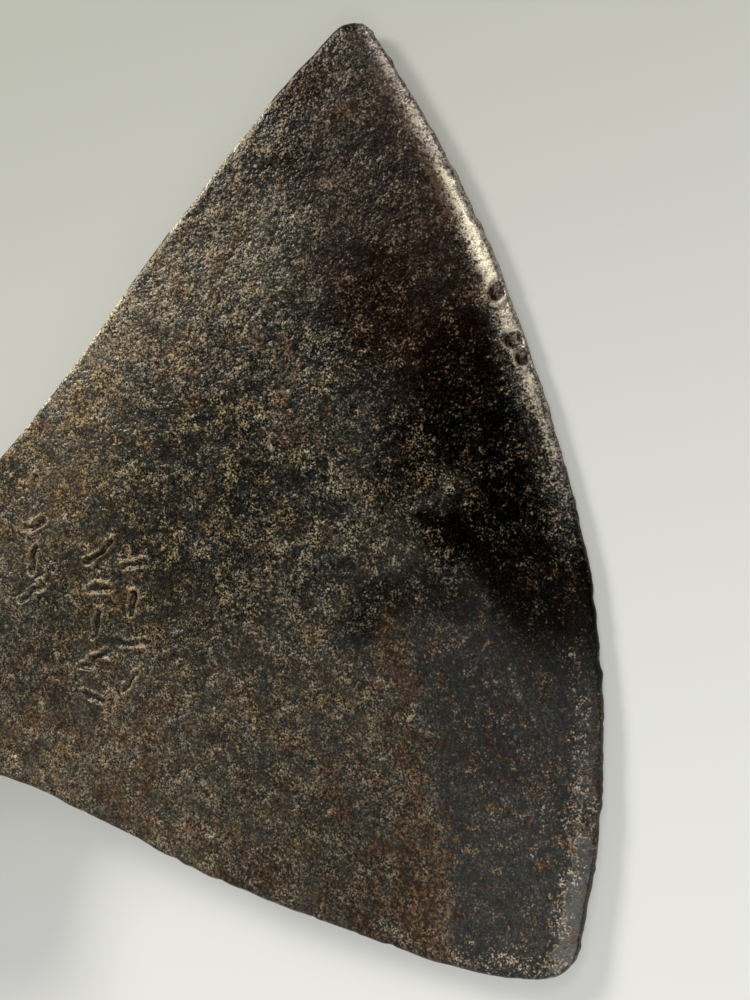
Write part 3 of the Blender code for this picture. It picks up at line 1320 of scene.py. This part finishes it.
@dataclass
class AxeHead:
    """The whole forged head as one dressed piece."""

    form: HeadForm
    triangles: int = 195000
    name: str = "forged_axe_head"
    node: str = "axe_head"
    front_reach: float = 12.0
    thinned: int = 9
    pose: Matrix = field(default_factory=Matrix)

    def resting_tilt(self, points: Array) -> float:
        """Slope of the line that touches the underside at cheek and bevel.

        From each point near the edge the steepest line to the cheek is taken, and
        the least steep of these has nothing under it.

        Args:
            points: the head's points, in its own frame.

        Returns:
            The slope, in radians.
        """
        under = points[points[:, 2] < 0.0]
        cheek = under[under[:, 0] < self.form.bow_starts][::self.thinned]
        front = under[under[:, 0] > self.form.edge - self.front_reach][::self.thinned]
        rise = front[:, None, 2] - cheek[None, :, 2]
        run = front[:, None, 0] - cheek[None, :, 0]
        return float(np.arctan2(rise, run).max(axis=1).min())

    def lie(self, points: Array) -> Matrix:
        """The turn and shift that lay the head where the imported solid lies.

        Args:
            points: the head's points, in its own frame and in millimetres.

        Returns:
            The matrix from there to the scene, in metres.
        """
        tilt = self.resting_tilt(points)
        turn = np.array((
            (math.cos(tilt), 0.0, math.sin(tilt)),
            (0.0, 1.0, 0.0),
            (-math.sin(tilt), 0.0, math.cos(tilt)),
        ))
        laid = points @ turn.T * MM
        low, high = (np.array(corner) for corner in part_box(self.node))
        shift = (low + high) / 2 - (laid.min(axis=0) + laid.max(axis=0)) / 2
        shift[2] = low[2] - laid[:, 2].min()
        return Matrix.Translation(Vector(shift)) @ Matrix(turn.tolist()).to_4x4() @ Matrix.Scale(MM, 4)

    def build(self, finish: bpy.types.Material) -> bpy.types.Object:
        """Loft the head, carve its relief, thin it to its triangle count and dress it.

        Args:
            finish: the head's material.

        Returns:
            The finished piece, with its place in its mesh.
        """
        points, faces = HeadMesh(self.form).build()
        self.pose = self.lie(points)
        normals = self.normals(points, faces)
        move, zones = Relief(self.form).carve(points, normals)
        carved = points + normals * move[:, None]
        turn = np.array(self.pose.to_3x3())
        placed = carved @ turn.T + np.array(self.pose.translation)
        floor = float(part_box(self.node)[0][2])
        placed[:, 2] = np.maximum(placed[:, 2], floor)
        mesh = self.to_mesh(placed, faces)
        for zone, values in zones.items():
            layer = mesh.attributes.new(zone.value, "FLOAT", "POINT")
            layer.data.foreach_set("value", values.astype(np.float32))
        full = bpy.data.objects.new("full_detail", mesh)
        bpy.context.collection.objects.link(full)
        thin = full.modifiers.new("thin", "DECIMATE")
        thin.ratio = min(1.0, self.triangles / (len(mesh.loops) - 2 * len(mesh.polygons)))
        graph = bpy.context.evaluated_depsgraph_get()
        final = bpy.data.meshes.new_from_object(full.evaluated_get(graph), depsgraph=graph)
        bpy.data.objects.remove(full, do_unlink=True)
        final.name = self.name
        final.shade_smooth()
        final.materials.clear()
        final.materials.append(finish)
        head = bpy.data.objects.new(self.name, final)
        bpy.context.collection.objects.link(head)
        return head

    @staticmethod
    def to_mesh(points: Array, faces: Array) -> bpy.types.Mesh:
        """A mesh from points and faces whose triangles repeat a corner.

        Args:
            points: positions, one a row.
            faces: four vertex numbers a row; a repeated number is left out.

        Returns:
            A mesh of quads and triangles.
        """
        turned = np.roll(faces, -1, axis=1)
        keep = faces != turned
        corners = keep.sum(axis=1)
        whole = corners >= 3
        sizes = corners[whole]
        loops = faces[whole][keep[whole]]
        mesh = bpy.data.meshes.new("full_detail")
        mesh.vertices.add(len(points))
        mesh.vertices.foreach_set("co", points.astype(np.float32).ravel())
        mesh.loops.add(len(loops))
        mesh.loops.foreach_set("vertex_index", loops.astype(np.int32))
        mesh.polygons.add(len(sizes))
        starts = np.concatenate(([0], np.cumsum(sizes)[:-1]))
        mesh.polygons.foreach_set("loop_start", starts.astype(np.int32))
        mesh.update(calc_edges=True)
        return mesh

    @classmethod
    def normals(cls, points: Array, faces: Array) -> Array:
        """Unit normals at the points, averaged over the faces round them.

        Args:
            points: positions, one a row.
            faces: four vertex numbers a row.

        Returns:
            One normal for each point.
        """
        mesh = cls.to_mesh(points, faces)
        flat = np.empty(3 * len(points), np.float32)
        mesh.vertex_normals.foreach_get("vector", flat)
        bpy.data.meshes.remove(mesh)
        return flat.reshape(-1, 3).astype(float)


@dataclass(frozen=True)
class Grain:
    """Noise in a finish: its blotches' width in millimetres, and its finer layers.

    detail counts the finer layers, rough is the strength of each against the one
    before it, and shift picks the pattern.
    """

    size: float
    detail: float = 0.0
    rough: float = 0.5
    shift: float = 0.0


class NodeSheet:
    """A material's node tree, with short ways to add and join its nodes."""

    def __init__(self, name: str) -> None:
        """Start a material with a Principled shader.

        Args:
            name: the material's name.
        """
        self.material = bpy.data.materials.new(name)
        self.material.use_nodes = True
        self.tree = self.material.node_tree
        self.shader = self.tree.nodes["Principled BSDF"]

    def join(self, source: Socket | float | Colour, target: Socket) -> None:
        """Link a socket to another, or set a plain value or colour on it.

        Args:
            source: what is read.
            target: the input that reads it.
        """
        if isinstance(source, bpy.types.NodeSocket):
            self.tree.links.new(source, target)
        elif isinstance(source, tuple):
            target.default_value = (*source, 1.0) if len(source) == 3 else source
        else:
            target.default_value = source

    def millimetres(self) -> Socket:
        """Positions on the object, in millimetres.

        Returns:
            The positions' socket.
        """
        place = self.tree.nodes.new("ShaderNodeTexCoord")
        scale = self.tree.nodes.new("ShaderNodeMapping")
        scale.inputs["Scale"].default_value = (1 / MM, 1 / MM, 1 / MM)
        self.join(place.outputs["Object"], scale.inputs["Vector"])
        return scale.outputs["Vector"]

    def grain(self, at: Socket, grain: Grain) -> Socket:
        """Noise from 0 to 1.

        Args:
            at: positions in millimetres.
            grain: its size, layers and pattern.

        Returns:
            The noise's socket.
        """
        node = self.tree.nodes.new("ShaderNodeTexNoise")
        node.noise_dimensions = "4D"
        node.inputs["W"].default_value = grain.shift
        node.inputs["Scale"].default_value = 1.0 / grain.size
        node.inputs["Detail"].default_value = grain.detail
        node.inputs["Roughness"].default_value = grain.rough
        self.join(at, node.inputs["Vector"])
        return node.outputs["Fac"]

    def zone(self, zone: Zone) -> Socket:
        """One of the mesh's named zones.

        Args:
            zone: which one.

        Returns:
            Its strength's socket.
        """
        node = self.tree.nodes.new("ShaderNodeAttribute")
        node.attribute_name = zone.value
        return node.outputs["Fac"]

    def times(self, first: Socket | float, second: Socket | float) -> Socket:
        """Two values multiplied."""
        return self.calc("MULTIPLY", first, second)

    def sum(self, *values: Socket | float) -> Socket:
        """All of the values added together."""
        return functools.reduce(lambda total, value: self.calc("ADD", total, value), values)

    def total(self, start: Socket | float, *terms: tuple[Socket, float]) -> Socket:
        """start, plus each term's socket times its weight."""
        return self.sum(start, *(self.times(value, weight) for value, weight in terms))

    def weigh(self, grains: Sequence[Socket], weights: Sequence[float]) -> Socket:
        """Sum of weight * (grain - 0.5), which is about 0 on average."""
        centred = (self.calc("SUBTRACT", grain, 0.5) for grain in grains)
        return self.sum(*(self.times(grain, weight) for grain, weight in zip(centred, weights)))

    def scale(self, colour: Socket, gain: Socket | float) -> Socket:
        """A colour times a number.

        Args:
            colour: the colour.
            gain: the number.

        Returns:
            The brighter or darker colour.
        """
        node = self.tree.nodes.new("ShaderNodeVectorMath")
        node.operation = "SCALE"
        self.join(colour, node.inputs[0])
        self.join(gain, node.inputs["Scale"])
        return node.outputs[0]

    def calc(self, operation: str, first: Socket | float, second: Socket | float = 0.0) -> Socket:
        """One Math node.

        Args:
            operation: the node's operation.
            first: its first value.
            second: its second value, if it has one.

        Returns:
            The result.
        """
        node = self.tree.nodes.new("ShaderNodeMath")
        node.operation = operation
        self.join(first, node.inputs[0])
        self.join(second, node.inputs[1])
        return node.outputs[0]

    def step(self, value: Socket, low: float, high: float, bottom: float = 0.0, top: float = 1.0) -> Socket:
        """A smooth step from bottom to top as the value goes from low to high.

        Args:
            value: what is read.
            low: where the step starts.
            high: where it ends, which may be the smaller.
            bottom: the result at low.
            top: the result at high.

        Returns:
            The result.
        """
        node = self.tree.nodes.new("ShaderNodeMapRange")
        node.interpolation_type = "SMOOTHSTEP"
        self.join(value, node.inputs["Value"])
        for name, number in (("From Min", low), ("From Max", high), ("To Min", bottom), ("To Max", top)):
            node.inputs[name].default_value = number
        return node.outputs["Result"]

    def between(self, share: Socket, bottom: float, top: float) -> Socket:
        """A value that goes smoothly from bottom to top as the share goes from 0 to 1."""
        return self.step(share, 0.0, 1.0, bottom, top)

    def ramp(self, value: Socket, stops: Sequence[tuple[float, Colour]]) -> Socket:
        """A colour that runs through the stops.

        Args:
            value: what is read, from 0 to 1.
            stops: (position, colour) pairs in rising order.

        Returns:
            The colour.
        """
        node = self.tree.nodes.new("ShaderNodeValToRGB")
        band = node.color_ramp
        while len(band.elements) < len(stops):
            band.elements.new(0.5)
        for element, (position, colour) in zip(band.elements, stops):
            element.position = position
            element.color = (*colour, 1.0)
        self.join(value, node.inputs["Fac"])
        return node.outputs["Color"]

    def tinted(self, share: Socket | float, colour: Socket, tint: Socket | Colour) -> Socket:
        """A colour blended with itself times a tint, by the share."""
        return self.blend(share, colour, self.blend(1.0, colour, tint, "MULTIPLY"))

    def blend(
        self, share: Socket | float, below: Socket | Colour, above: Socket | Colour, kind: str = "MIX"
    ) -> Socket:
        """One colour laid over another.

        Args:
            share: how much of the upper colour shows.
            below: the lower colour.
            above: the upper colour.
            kind: how the two are combined.

        Returns:
            The result.
        """
        node = self.tree.nodes.new("ShaderNodeMix")
        node.data_type = "RGBA"
        node.blend_type = kind
        self.join(share, node.inputs[0])
        self.join(below, node.inputs[6])
        self.join(above, node.inputs[7])
        return node.outputs[2]

    def bump(self, height: Socket, depth_mm: float) -> Socket:
        """A bump.

        Args:
            height: its height, as a share of its depth.
            depth_mm: its depth, in millimetres.

        Returns:
            The bent normal.
        """
        node = self.tree.nodes.new("ShaderNodeBump")
        node.inputs["Strength"].default_value = 1.0
        node.inputs["Distance"].default_value = depth_mm * MM
        self.join(height, node.inputs["Height"])
        return node.outputs["Normal"]


@dataclass(frozen=True)
class IronPatina:
    """Dark waxed iron: charcoal scale under tan and grey crumbs, rust and worn steel.

    The colour is a ramp over a level that sums five sizes of grain, and a gain of
    two to a power then makes whole zones paler or darker, partly as painted sheen on
    the toe's outline and the heel.  A span named _from_to holds the values between
    which a smooth step goes from 0 to 1, and a pair named _shares what a step gives
    at its two ends.
    """

    name: str = "brown_patina_iron"
    grains: tuple[Grain, ...] = (
        Grain(0.42, shift=0.0), Grain(0.85, shift=1.0), Grain(1.7, shift=2.0),
        Grain(3.6, shift=3.0), Grain(8.0, shift=4.0),
    )
    patches: Grain = Grain(4.2, 3.0, 0.62, 6.0)
    billows: Grain = Grain(2.6, 2.0, 0.5, 7.0)
    stains: Grain = Grain(4.0, 3.0, 0.62, 8.0)
    tints: Grain = Grain(5.0, 3.0, 0.62, 11.0)
    tint_drift: Grain = Grain(22.0, 1.0, 0.5, 12.0)
    hues: Grain = Grain(7.0, 4.0, 0.7, 13.0)
    # The level, and how the shader's own values follow it.
    fine_weights: tuple[float, ...] = (1.5, 0.76, 0.5)
    slow_weights: tuple[float, ...] = (0.78, 0.28)
    cluster_from_to: Span = (0.40, 0.62)
    cluster_shares: Span = (0.55, 1.30)
    mean_crust: float = 0.42
    level_crust: float = 0.26
    # level_hollow_shade darkens the hollows: oxide and painted shade.
    level_hollow_shade: float = -0.16
    # level_burr_shine lightens burrs: tan on them and a painted highlight.
    level_burr_shine: float = 0.45
    # level_dark and dark_metallic keep the dark zone dark: a darker patina and a painted dark reflection.
    level_dark: float = -0.22
    specular: float = 0.2
    rough_from_to: Span = (0.3, 0.8)
    rough_shares: Span = (0.30, 0.55)
    metallic: Span = (0.5, 0.85)
    dark_metallic: float = 1.0
    # Scale and its painted sheen, with ochre mostly on the light grain and blue-grey on the dark.
    scale_colours: tuple[tuple[float, Colour], ...] = (
        (0.0, (0.0010, 0.0008, 0.0006)),
        (0.14, (0.0060, 0.0049, 0.0034)),
        (0.28, (0.0142, 0.0130, 0.0100)),
        (0.40, (0.0235, 0.0245, 0.0215)),
        (0.50, (0.0365, 0.0345, 0.0270)),
        (0.64, (0.087, 0.075, 0.052)),
        (0.80, (0.170, 0.150, 0.113)),
        (1.00, (0.28, 0.245, 0.195)),
    )
    sheen_crumb_stain_colours: tuple[tuple[float, Colour], ...] = (
        (0.14, (0.0255, 0.0225, 0.0180)),
        (0.27, (0.0360, 0.0365, 0.0335)),
        (0.40, (0.0510, 0.0480, 0.0400)),
        (0.52, (0.083, 0.068, 0.048)),
        (0.75, (0.150, 0.126, 0.095)),
        (1.00, (0.25, 0.215, 0.165)),
    )
    sheen_slow: float = -0.45
    light_from_to: Span = (0.40, 0.62)
    ochre: Colour = (1.18, 0.99, 0.60)
    ochre_drift: float = 0.25
    ochre_zone: float = 0.2
    ochre_from_to: Span = (0.71, 0.87)
    ochre_shares: Span = (0.3, 0.8)
    ochre_light_shares: Span = (0.4, 1.0)
    blue_grey: Colour = (0.85, 1.0, 1.05)
    blue_from_to: Span = (0.53, 0.40)
    blue_light_shares: Span = (0.8, 0.15)
    # Steel below the weld, its stains, and brown wax.
    steel_colours: tuple[tuple[float, Colour], ...] = (
        (0.20, (0.0180, 0.0178, 0.0165)),
        (0.50, (0.0345, 0.0345, 0.0325)),
        (0.75, (0.0540, 0.0520, 0.0460)),
        (1.00, (0.090, 0.080, 0.066)),
    )
    umber_colours: tuple[tuple[float, Colour], ...] = (
        (0.15, (0.0098, 0.0058, 0.0036)),
        (0.50, (0.0300, 0.0205, 0.0135)),
        (0.75, (0.0680, 0.0510, 0.0360)),
        (1.00, (0.155, 0.124, 0.095)),
    )
    dull_weights: Span = (0.45, 0.4)
    stain_tint: Colour = (0.97, 0.78, 0.54)
    stain_fine: float = 0.24
    stain_from_to: Span = (0.55, 0.74)
    umber_share: float = 0.8
    umber_weights: Span = (0.35, 0.5)
    # Crumbs and rust.
    crumb_gain: float = 1.35
    crumb_zone: float = 0.42
    crumb_from_to: Span = (0.22, 0.72)
    crumb_zone_from_to: Span = (0.02, 0.3)
    rust_dark: Colour = (0.026, 0.0125, 0.007)
    rust_light: Colour = (0.080, 0.038, 0.018)
    rust_share: float = 0.6
    rust_weights: Span = (1.0, 1.1)
    rust_from_to: Span = (1.28, 1.62)
    rust_light_from_to: Span = (0.42, 0.66)
    # Hollows with oxide and painted shade, the drift of hue, the gain, which paints
    # sheen on the crust and the heel, and the dark zone with its painted dark reflection.
    hollow_shade_share: float = 0.5
    hollow_oxide_and_shade_tint: Colour = (0.62, 0.50, 0.40)
    hue_from_to: Span = (0.38, 0.62)
    hue_steel_shares: Span = (1.0, 0.5)
    cold_drift: Colour = (0.945, 1.0, 1.06)
    warm_drift: Colour = (1.06, 0.985, 0.925)
    gain_mean: float = -0.40
    crust_and_sheen_gain: float = 0.9
    heel_sheen_gain: float = 0.8
    dark_tint: Colour = (0.48, 0.455, 0.435)
    dark_umber_tint: Colour = (0.66, 0.40, 0.23)
    # The strip along the edge, bare metal with its painted highlight, and the bump.
    strip_share: float = 0.9
    strip_dark: Colour = (0.10, 0.082, 0.072)
    strip_light: Colour = (0.42, 0.36, 0.33)
    streak_from_to: Span = (-0.20, 0.30)
    worn_metal_and_highlight: Colour = (0.54, 0.49, 0.38)
    bare_fine: float = 0.55
    bare_hollow: float = -0.8
    bare_from_to: Span = (0.15, 1.0)
    bump_weights: tuple[float, ...] = (0.12, 0.22, 0.22)
    bump_patches: float = 0.15
    bump_billows: float = 0.5
    bump_wax: float = 0.6
    bump_shares: Span = (1.0, 0.3)
    bump_depth: float = 0.75

    def build(self) -> bpy.types.Material:
        """The material, read from positions in millimetres and the mesh's zones."""
        return PatinaCoats(self).lay()


class PatinaCoats:
    """The coats of an iron patina, laid over each other in one material.

    Its coats share five sizes of grain; fine, the sum of the three smallest; slow,
    the sum of patches and the largest; and level, the place on the scale's ramp.
    """

    def __init__(self, finish: IronPatina) -> None:
        """Start the material and its shared noises.

        Args:
            finish: the patina's colours and amounts.
        """
        self.finish = finish
        self.sheet = sheet = NodeSheet(finish.name)
        self.at = sheet.millimetres()
        self.zones = {zone: sheet.zone(zone) for zone in Zone}
        self.grains = [sheet.grain(self.at, grain) for grain in finish.grains]
        self.patches = sheet.grain(self.at, finish.patches)
        self.fine = sheet.weigh(self.grains[:3], finish.fine_weights)
        self.slow = sheet.weigh((self.patches, self.grains[4]), finish.slow_weights)
        self.level = self.read_level()

    def grained(self, start: Socket | float, weights: Span) -> Socket:
        """start, plus fine and slow grain times their weights."""
        return self.sheet.total(start, *zip((self.fine, self.slow), weights))

    def read_level(self) -> Socket:
        """Grain, patches and crust added up, less hollows and the dark zone.

        Fine grain counts for more where patches gather.

        Returns:
            The place on the scale's ramp, about 0.5 on average.
        """
        sheet, finish, zones = self.sheet, self.finish, self.zones
        cluster = sheet.step(self.patches, *finish.cluster_from_to, *finish.cluster_shares)
        crust = sheet.calc("SUBTRACT", zones[Zone.CRUST], finish.mean_crust)
        return sheet.total(
            sheet.sum(0.5, sheet.times(self.fine, cluster), self.slow),
            (crust, finish.level_crust), (zones[Zone.HOLLOW], finish.level_hollow_shade),
            (zones[Zone.BURR], finish.level_burr_shine), (zones[Zone.DARK], finish.level_dark),
        )

    def forge_scale(self) -> tuple[Socket, Socket]:
        """Charcoal scale and a paler painted sheen over it, with ochre and blue-grey tints.

        Ochre lies mostly on the light grain and blue-grey on the dark.

        Returns:
            The tinted scale, and the plain colour of the painted sheen, which the crumbs and stains above
            take up.
        """
        sheet, finish, zones = self.sheet, self.finish, self.zones
        sheen_crumb_stain = sheet.ramp(sheet.total(self.level, (self.slow, finish.sheen_slow)), finish.sheen_crumb_stain_colours)
        colour = sheet.blend(zones[Zone.HAZE], sheet.ramp(self.level, finish.scale_colours), sheen_crumb_stain)
        tint = sheet.grain(self.at, finish.tints)
        drift = sheet.grain(self.at, finish.tint_drift)
        light = sheet.step(self.level, *finish.light_from_to)
        ochre = sheet.total(tint, (drift, finish.ochre_drift), (zones[Zone.OCHRE], finish.ochre_zone))
        warm = sheet.between(sheet.step(ochre, *finish.ochre_from_to), *finish.ochre_shares)
        warm = sheet.times(warm, sheet.between(light, *finish.ochre_light_shares))
        cool = sheet.step(tint, *finish.blue_from_to)
        cool = sheet.times(cool, sheet.between(light, *finish.blue_light_shares))
        colour = sheet.tinted(warm, colour, finish.ochre)
        return sheet.tinted(cool, colour, finish.blue_grey), sheen_crumb_stain

    def smooth_coats(self, colour: Socket, sheen_crumb_stain: Socket) -> Socket:
        """Stained steel below the weld, and brown wax towards the toe.

        Args:
            colour: the coats so far.
            sheen_crumb_stain: the painted sheen's paler colour, which the stains take up.

        Returns:
            The colour with both laid over it.
        """
        sheet, finish, zones = self.sheet, self.finish, self.zones
        dull = self.grained(0.5, finish.dull_weights)
        stain = sheet.total(sheet.grain(self.at, finish.stains), (self.fine, finish.stain_fine))
        stained = sheet.blend(1.0, sheen_crumb_stain, finish.stain_tint, "MULTIPLY")
        steel = sheet.ramp(dull, finish.steel_colours)
        steel = sheet.blend(sheet.step(stain, *finish.stain_from_to), steel, stained)
        waxed = sheet.ramp(self.grained(dull, finish.umber_weights), finish.umber_colours)
        colour = sheet.blend(zones[Zone.STEEL], colour, steel)
        return sheet.blend(sheet.times(zones[Zone.BROWN], finish.umber_share), colour, waxed)

    def crumbs_and_rust(self, colour: Socket, sheen_crumb_stain: Socket) -> Socket:
        """Pale crumbs where grain gathers, then blotches of rust.

        Args:
            colour: the coats so far.
            sheen_crumb_stain: the painted sheen's paler colour, which the crumbs take up.

        Returns:
            The colour with both laid over it.
        """
        sheet, finish, zones = self.sheet, self.finish, self.zones
        speckle = zones[Zone.SPECKLE]
        gathered = sheet.total(sheet.sum(self.fine, self.slow), (speckle, finish.crumb_zone))
        specks = sheet.step(gathered, *finish.crumb_from_to)
        specks = sheet.times(specks, sheet.step(speckle, *finish.crumb_zone_from_to))
        colour = sheet.blend(specks, colour, sheet.scale(sheen_crumb_stain, finish.crumb_gain))
        blotch = sheet.total(zones[Zone.RUST], *zip(self.grains[2:4], finish.rust_weights))
        blotch = sheet.times(sheet.step(blotch, *finish.rust_from_to), finish.rust_share)
        light = sheet.step(self.grains[1], *finish.rust_light_from_to)
        return sheet.blend(blotch, colour, sheet.blend(light, finish.rust_dark, finish.rust_light))

    def shaded(self, colour: Socket) -> Socket:
        """Painted shade in hollows, drifting hue, a gain that paints sheen, and the dark zone's painted
        dark reflection.

        Args:
            colour: the coats so far.

        Returns:
            The shaded colour.
        """
        sheet, finish, zones = self.sheet, self.finish, self.zones
        hollow = sheet.times(zones[Zone.HOLLOW], finish.hollow_shade_share)
        colour = sheet.tinted(hollow, colour, finish.hollow_oxide_and_shade_tint)
        hue = sheet.step(sheet.grain(self.at, finish.hues), *finish.hue_from_to)
        drift = sheet.blend(hue, finish.cold_drift, finish.warm_drift)
        colour = sheet.tinted(sheet.between(zones[Zone.STEEL], *finish.hue_steel_shares), colour, drift)
        gain = sheet.total(
            finish.gain_mean, (zones[Zone.CRUST], finish.crust_and_sheen_gain), (zones[Zone.HEEL], finish.heel_sheen_gain)
        )
        colour = sheet.scale(colour, sheet.calc("POWER", 2.0, gain))
        tint = sheet.blend(zones[Zone.BROWN], finish.dark_tint, finish.dark_umber_tint)
        return sheet.tinted(zones[Zone.DARK], colour, tint)

    def bare_metal_and_highlight(self) -> Socket:
        """How much bare metal and painted highlight show, broken up by grain and hollows.

        Returns:
            Its share, from 0 to 1.
        """
        sheet, finish, zones = self.sheet, self.finish, self.zones
        broken = sheet.total(
            zones[Zone.BRIGHT], (self.fine, finish.bare_fine), (zones[Zone.HOLLOW], finish.bare_hollow)
        )
        return sheet.step(broken, *finish.bare_from_to)

    def bump(self) -> Socket:
        """Grain, patches and billows as a bump, eased off on steel, wax and wear.

        Returns:
            The bent normal.
        """
        sheet, finish, zones = self.sheet, self.finish, self.zones
        centred = sheet.calc("SUBTRACT", sheet.grain(self.at, finish.billows), 0.5)
        billow = sheet.calc("ABSOLUTE", centred)
        grain = sheet.weigh(self.grains[:3], finish.bump_weights)
        height = sheet.total(grain, (self.patches, finish.bump_patches), (billow, finish.bump_billows))
        plain = sheet.sum(zones[Zone.STEEL], zones[Zone.BRIGHT])
        plain = sheet.total(plain, (zones[Zone.BROWN], finish.bump_wax))
        return sheet.bump(sheet.times(height, sheet.between(plain, *finish.bump_shares)), finish.bump_depth)

    def lay(self) -> bpy.types.Material:
        """Join the coats, the bare metal with its painted highlight and the bump to the shader.

        Returns:
            The material.
        """
        sheet, finish, zones = self.sheet, self.finish, self.zones
        colour, sheen_crumb_stain = self.forge_scale()
        colour = self.smooth_coats(colour, sheen_crumb_stain)
        colour = self.shaded(self.crumbs_and_rust(colour, sheen_crumb_stain))
        streaks = sheet.step(self.fine, *finish.streak_from_to)
        strip = sheet.blend(streaks, finish.strip_dark, finish.strip_light)
        colour = sheet.blend(sheet.times(zones[Zone.STRIP], finish.strip_share), colour, strip)
        shine = self.bare_metal_and_highlight()
        worn = sheet.between(shine, *finish.metallic)
        # Full metallic in the dark zone takes its specular reflection away, part of its painted dark
        # reflection.
        dark = sheet.between(zones[Zone.DARK], finish.metallic[0], finish.dark_metallic)
        inputs = sheet.shader.inputs
        sheet.join(sheet.blend(shine, colour, finish.worn_metal_and_highlight), inputs["Base Color"])
        sheet.join(sheet.calc("MAXIMUM", worn, dark), inputs["Metallic"])
        rough = sheet.step(self.level, *finish.rough_from_to, *finish.rough_shares)
        sheet.join(rough, inputs["Roughness"])
        sheet.join(self.bump(), inputs["Normal"])
        inputs["Specular IOR Level"].default_value = finish.specular
        return sheet.material


@dataclass(frozen=True)
class SoftLight:
    """A square soft light that faces a point."""

    name: str
    place: tuple[float, float, float]
    size: float
    power: float
    colour: Colour = (1.0, 1.0, 1.0)

    def build(self, target: Vector) -> bpy.types.Object:
        """Hang the light and turn it to the target.

        Args:
            target: the point that it faces.

        Returns:
            The lamp.
        """
        light = bpy.data.lights.new(self.name, "AREA")
        light.shape = "SQUARE"
        light.size = self.size
        light.energy = self.power
        light.color = self.colour
        lamp = bpy.data.objects.new(self.name, light)
        bpy.context.collection.objects.link(lamp)
        lamp.location = self.place
        lamp.rotation_euler = (target - Vector(self.place)).to_track_quat("-Z", "Y").to_euler()
        return lamp


@dataclass(frozen=True)
class Studio:
    """Pale floor, soft lights and the camera."""

    floor_size: float = 8.0
    # The far floor is painted darker, a painted fall-off of light; the floor's glow is painted light that
    # lifts its shadows.
    floor_colour: Colour = (0.44, 0.445, 0.44)
    far_floor_shade: Colour = (0.165, 0.172, 0.152)
    floor_glow: Colour = (1.0, 1.0, 0.97)
    far_floor_glow: Colour = (0.72, 0.725, 0.64)
    floor_glow_strength: float = 0.32
    floor_roughness: float = 0.9
    floor_band: Span = (-160.0, 180.0)
    lights: tuple[SoftLight, ...] = (
        SoftLight("toe_key", (-0.50, 0.82, 0.70), 0.35, 17.0, (1.0, 0.965, 0.91)),
        SoftLight("top_strip", (0.45, 0.55, 1.0), 0.4, 3.5, (1.0, 0.965, 0.91)),
        SoftLight("low_fill", (0.40, -0.70, 0.80), 0.6, 4.5, (1.0, 0.985, 0.96)),
    )
    world_colour: Colour = (1.0, 1.0, 0.98)
    world_strength: float = 0.18
    aim: tuple[float, float, float] = (173.4, 10.7, 0.0)
    distance: float = 321.4
    turn_to_edge: float = 25.2
    nod: float = 0.9
    lean: float = 13.4
    lens: float = 52.0
    near_clip: float = 0.01

    def build(self, pose: Matrix) -> None:
        """Lay the floor, light it and place the camera by the head's own frame.

        Args:
            pose: the matrix from the head's frame, in millimetres, to the scene.
        """
        self.floor()
        target = pose @ Vector(self.aim)
        for light in self.lights:
            light.build(target)
            LOG.info("%s: %.1f W", light.name, light.power)
        world = bpy.data.worlds.new("soft_room")
        world.use_nodes = True
        sky = world.node_tree.nodes["Background"]
        sky.inputs["Color"].default_value = (*self.world_colour, 1.0)
        sky.inputs["Strength"].default_value = self.world_strength
        bpy.context.scene.world = world
        self.camera(pose, target)

    def floor(self) -> None:
        """A pale sheet under the head, painted darker beyond the toe as a fall-off of light, and glowing to
        lift its shadows.
        """
        half = self.floor_size / 2
        corners = [(-half, -half, 0.0), (half, -half, 0.0), (half, half, 0.0), (-half, half, 0.0)]
        mesh = bpy.data.meshes.new("floor")
        mesh.from_pydata(corners, [], [(0, 1, 2, 3)])
        sheet = NodeSheet("pale_floor")
        spread = sheet.tree.nodes.new("ShaderNodeSeparateXYZ")
        sheet.join(sheet.millimetres(), spread.inputs[0])
        far = sheet.step(spread.outputs["Y"], *self.floor_band)
        inputs = sheet.shader.inputs
        sheet.join(sheet.blend(far, self.floor_colour, self.far_floor_shade), inputs["Base Color"])
        sheet.join(sheet.blend(far, self.floor_glow, self.far_floor_glow), inputs["Emission Color"])
        inputs["Roughness"].default_value = self.floor_roughness
        inputs["Emission Strength"].default_value = self.floor_glow_strength
        mesh.materials.append(sheet.material)
        floor = bpy.data.objects.new("floor", mesh)
        bpy.context.collection.objects.link(floor)

    def camera(self, pose: Matrix, target: Vector) -> None:
        """Look at the blade from the cutting edge's side, rolled by the lean.

        Args:
            pose: the matrix from the head's frame to the scene.
            target: the point that the camera looks at.
        """
        turn = math.radians(self.turn_to_edge)
        lean = math.radians(self.lean)
        across = math.sin(turn)
        back = Vector((across * math.cos(lean), -across * math.sin(lean), math.cos(turn)))
        up = Vector((math.sin(lean), math.cos(lean), 0.0))
        right = up.cross(back)
        nod = Matrix.Rotation(math.radians(-self.nod), 3, right)
        turned = pose.to_3x3().normalized() @ nod
        back, up, right = (turned @ axis for axis in (back, up, right))
        lens = bpy.data.cameras.new("camera")
        lens.lens = self.lens
        lens.clip_start = self.near_clip
        camera = bpy.data.objects.new("camera", lens)
        bpy.context.collection.objects.link(camera)
        place = target + back * self.distance * MM
        camera.matrix_world = Matrix.Translation(place) @ Matrix((right, up, back)).transposed().to_4x4()
        bpy.context.scene.camera = camera


def main() -> None:
    """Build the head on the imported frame, then the studio round it."""
    logging.basicConfig(level=logging.INFO, format="%(name)s: %(message)s")
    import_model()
    head = AxeHead(HeadForm())
    finish = IronPatina()
    piece = head.build(finish.build())
    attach(piece, "root")
    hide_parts(head.node)
    LOG.info("%s: %d faces", piece.name, len(piece.data.polygons))
    bpy.context.scene.view_settings.view_transform = "Standard"
    Studio().build(head.pose)


if __name__ == "__main__":
    main()
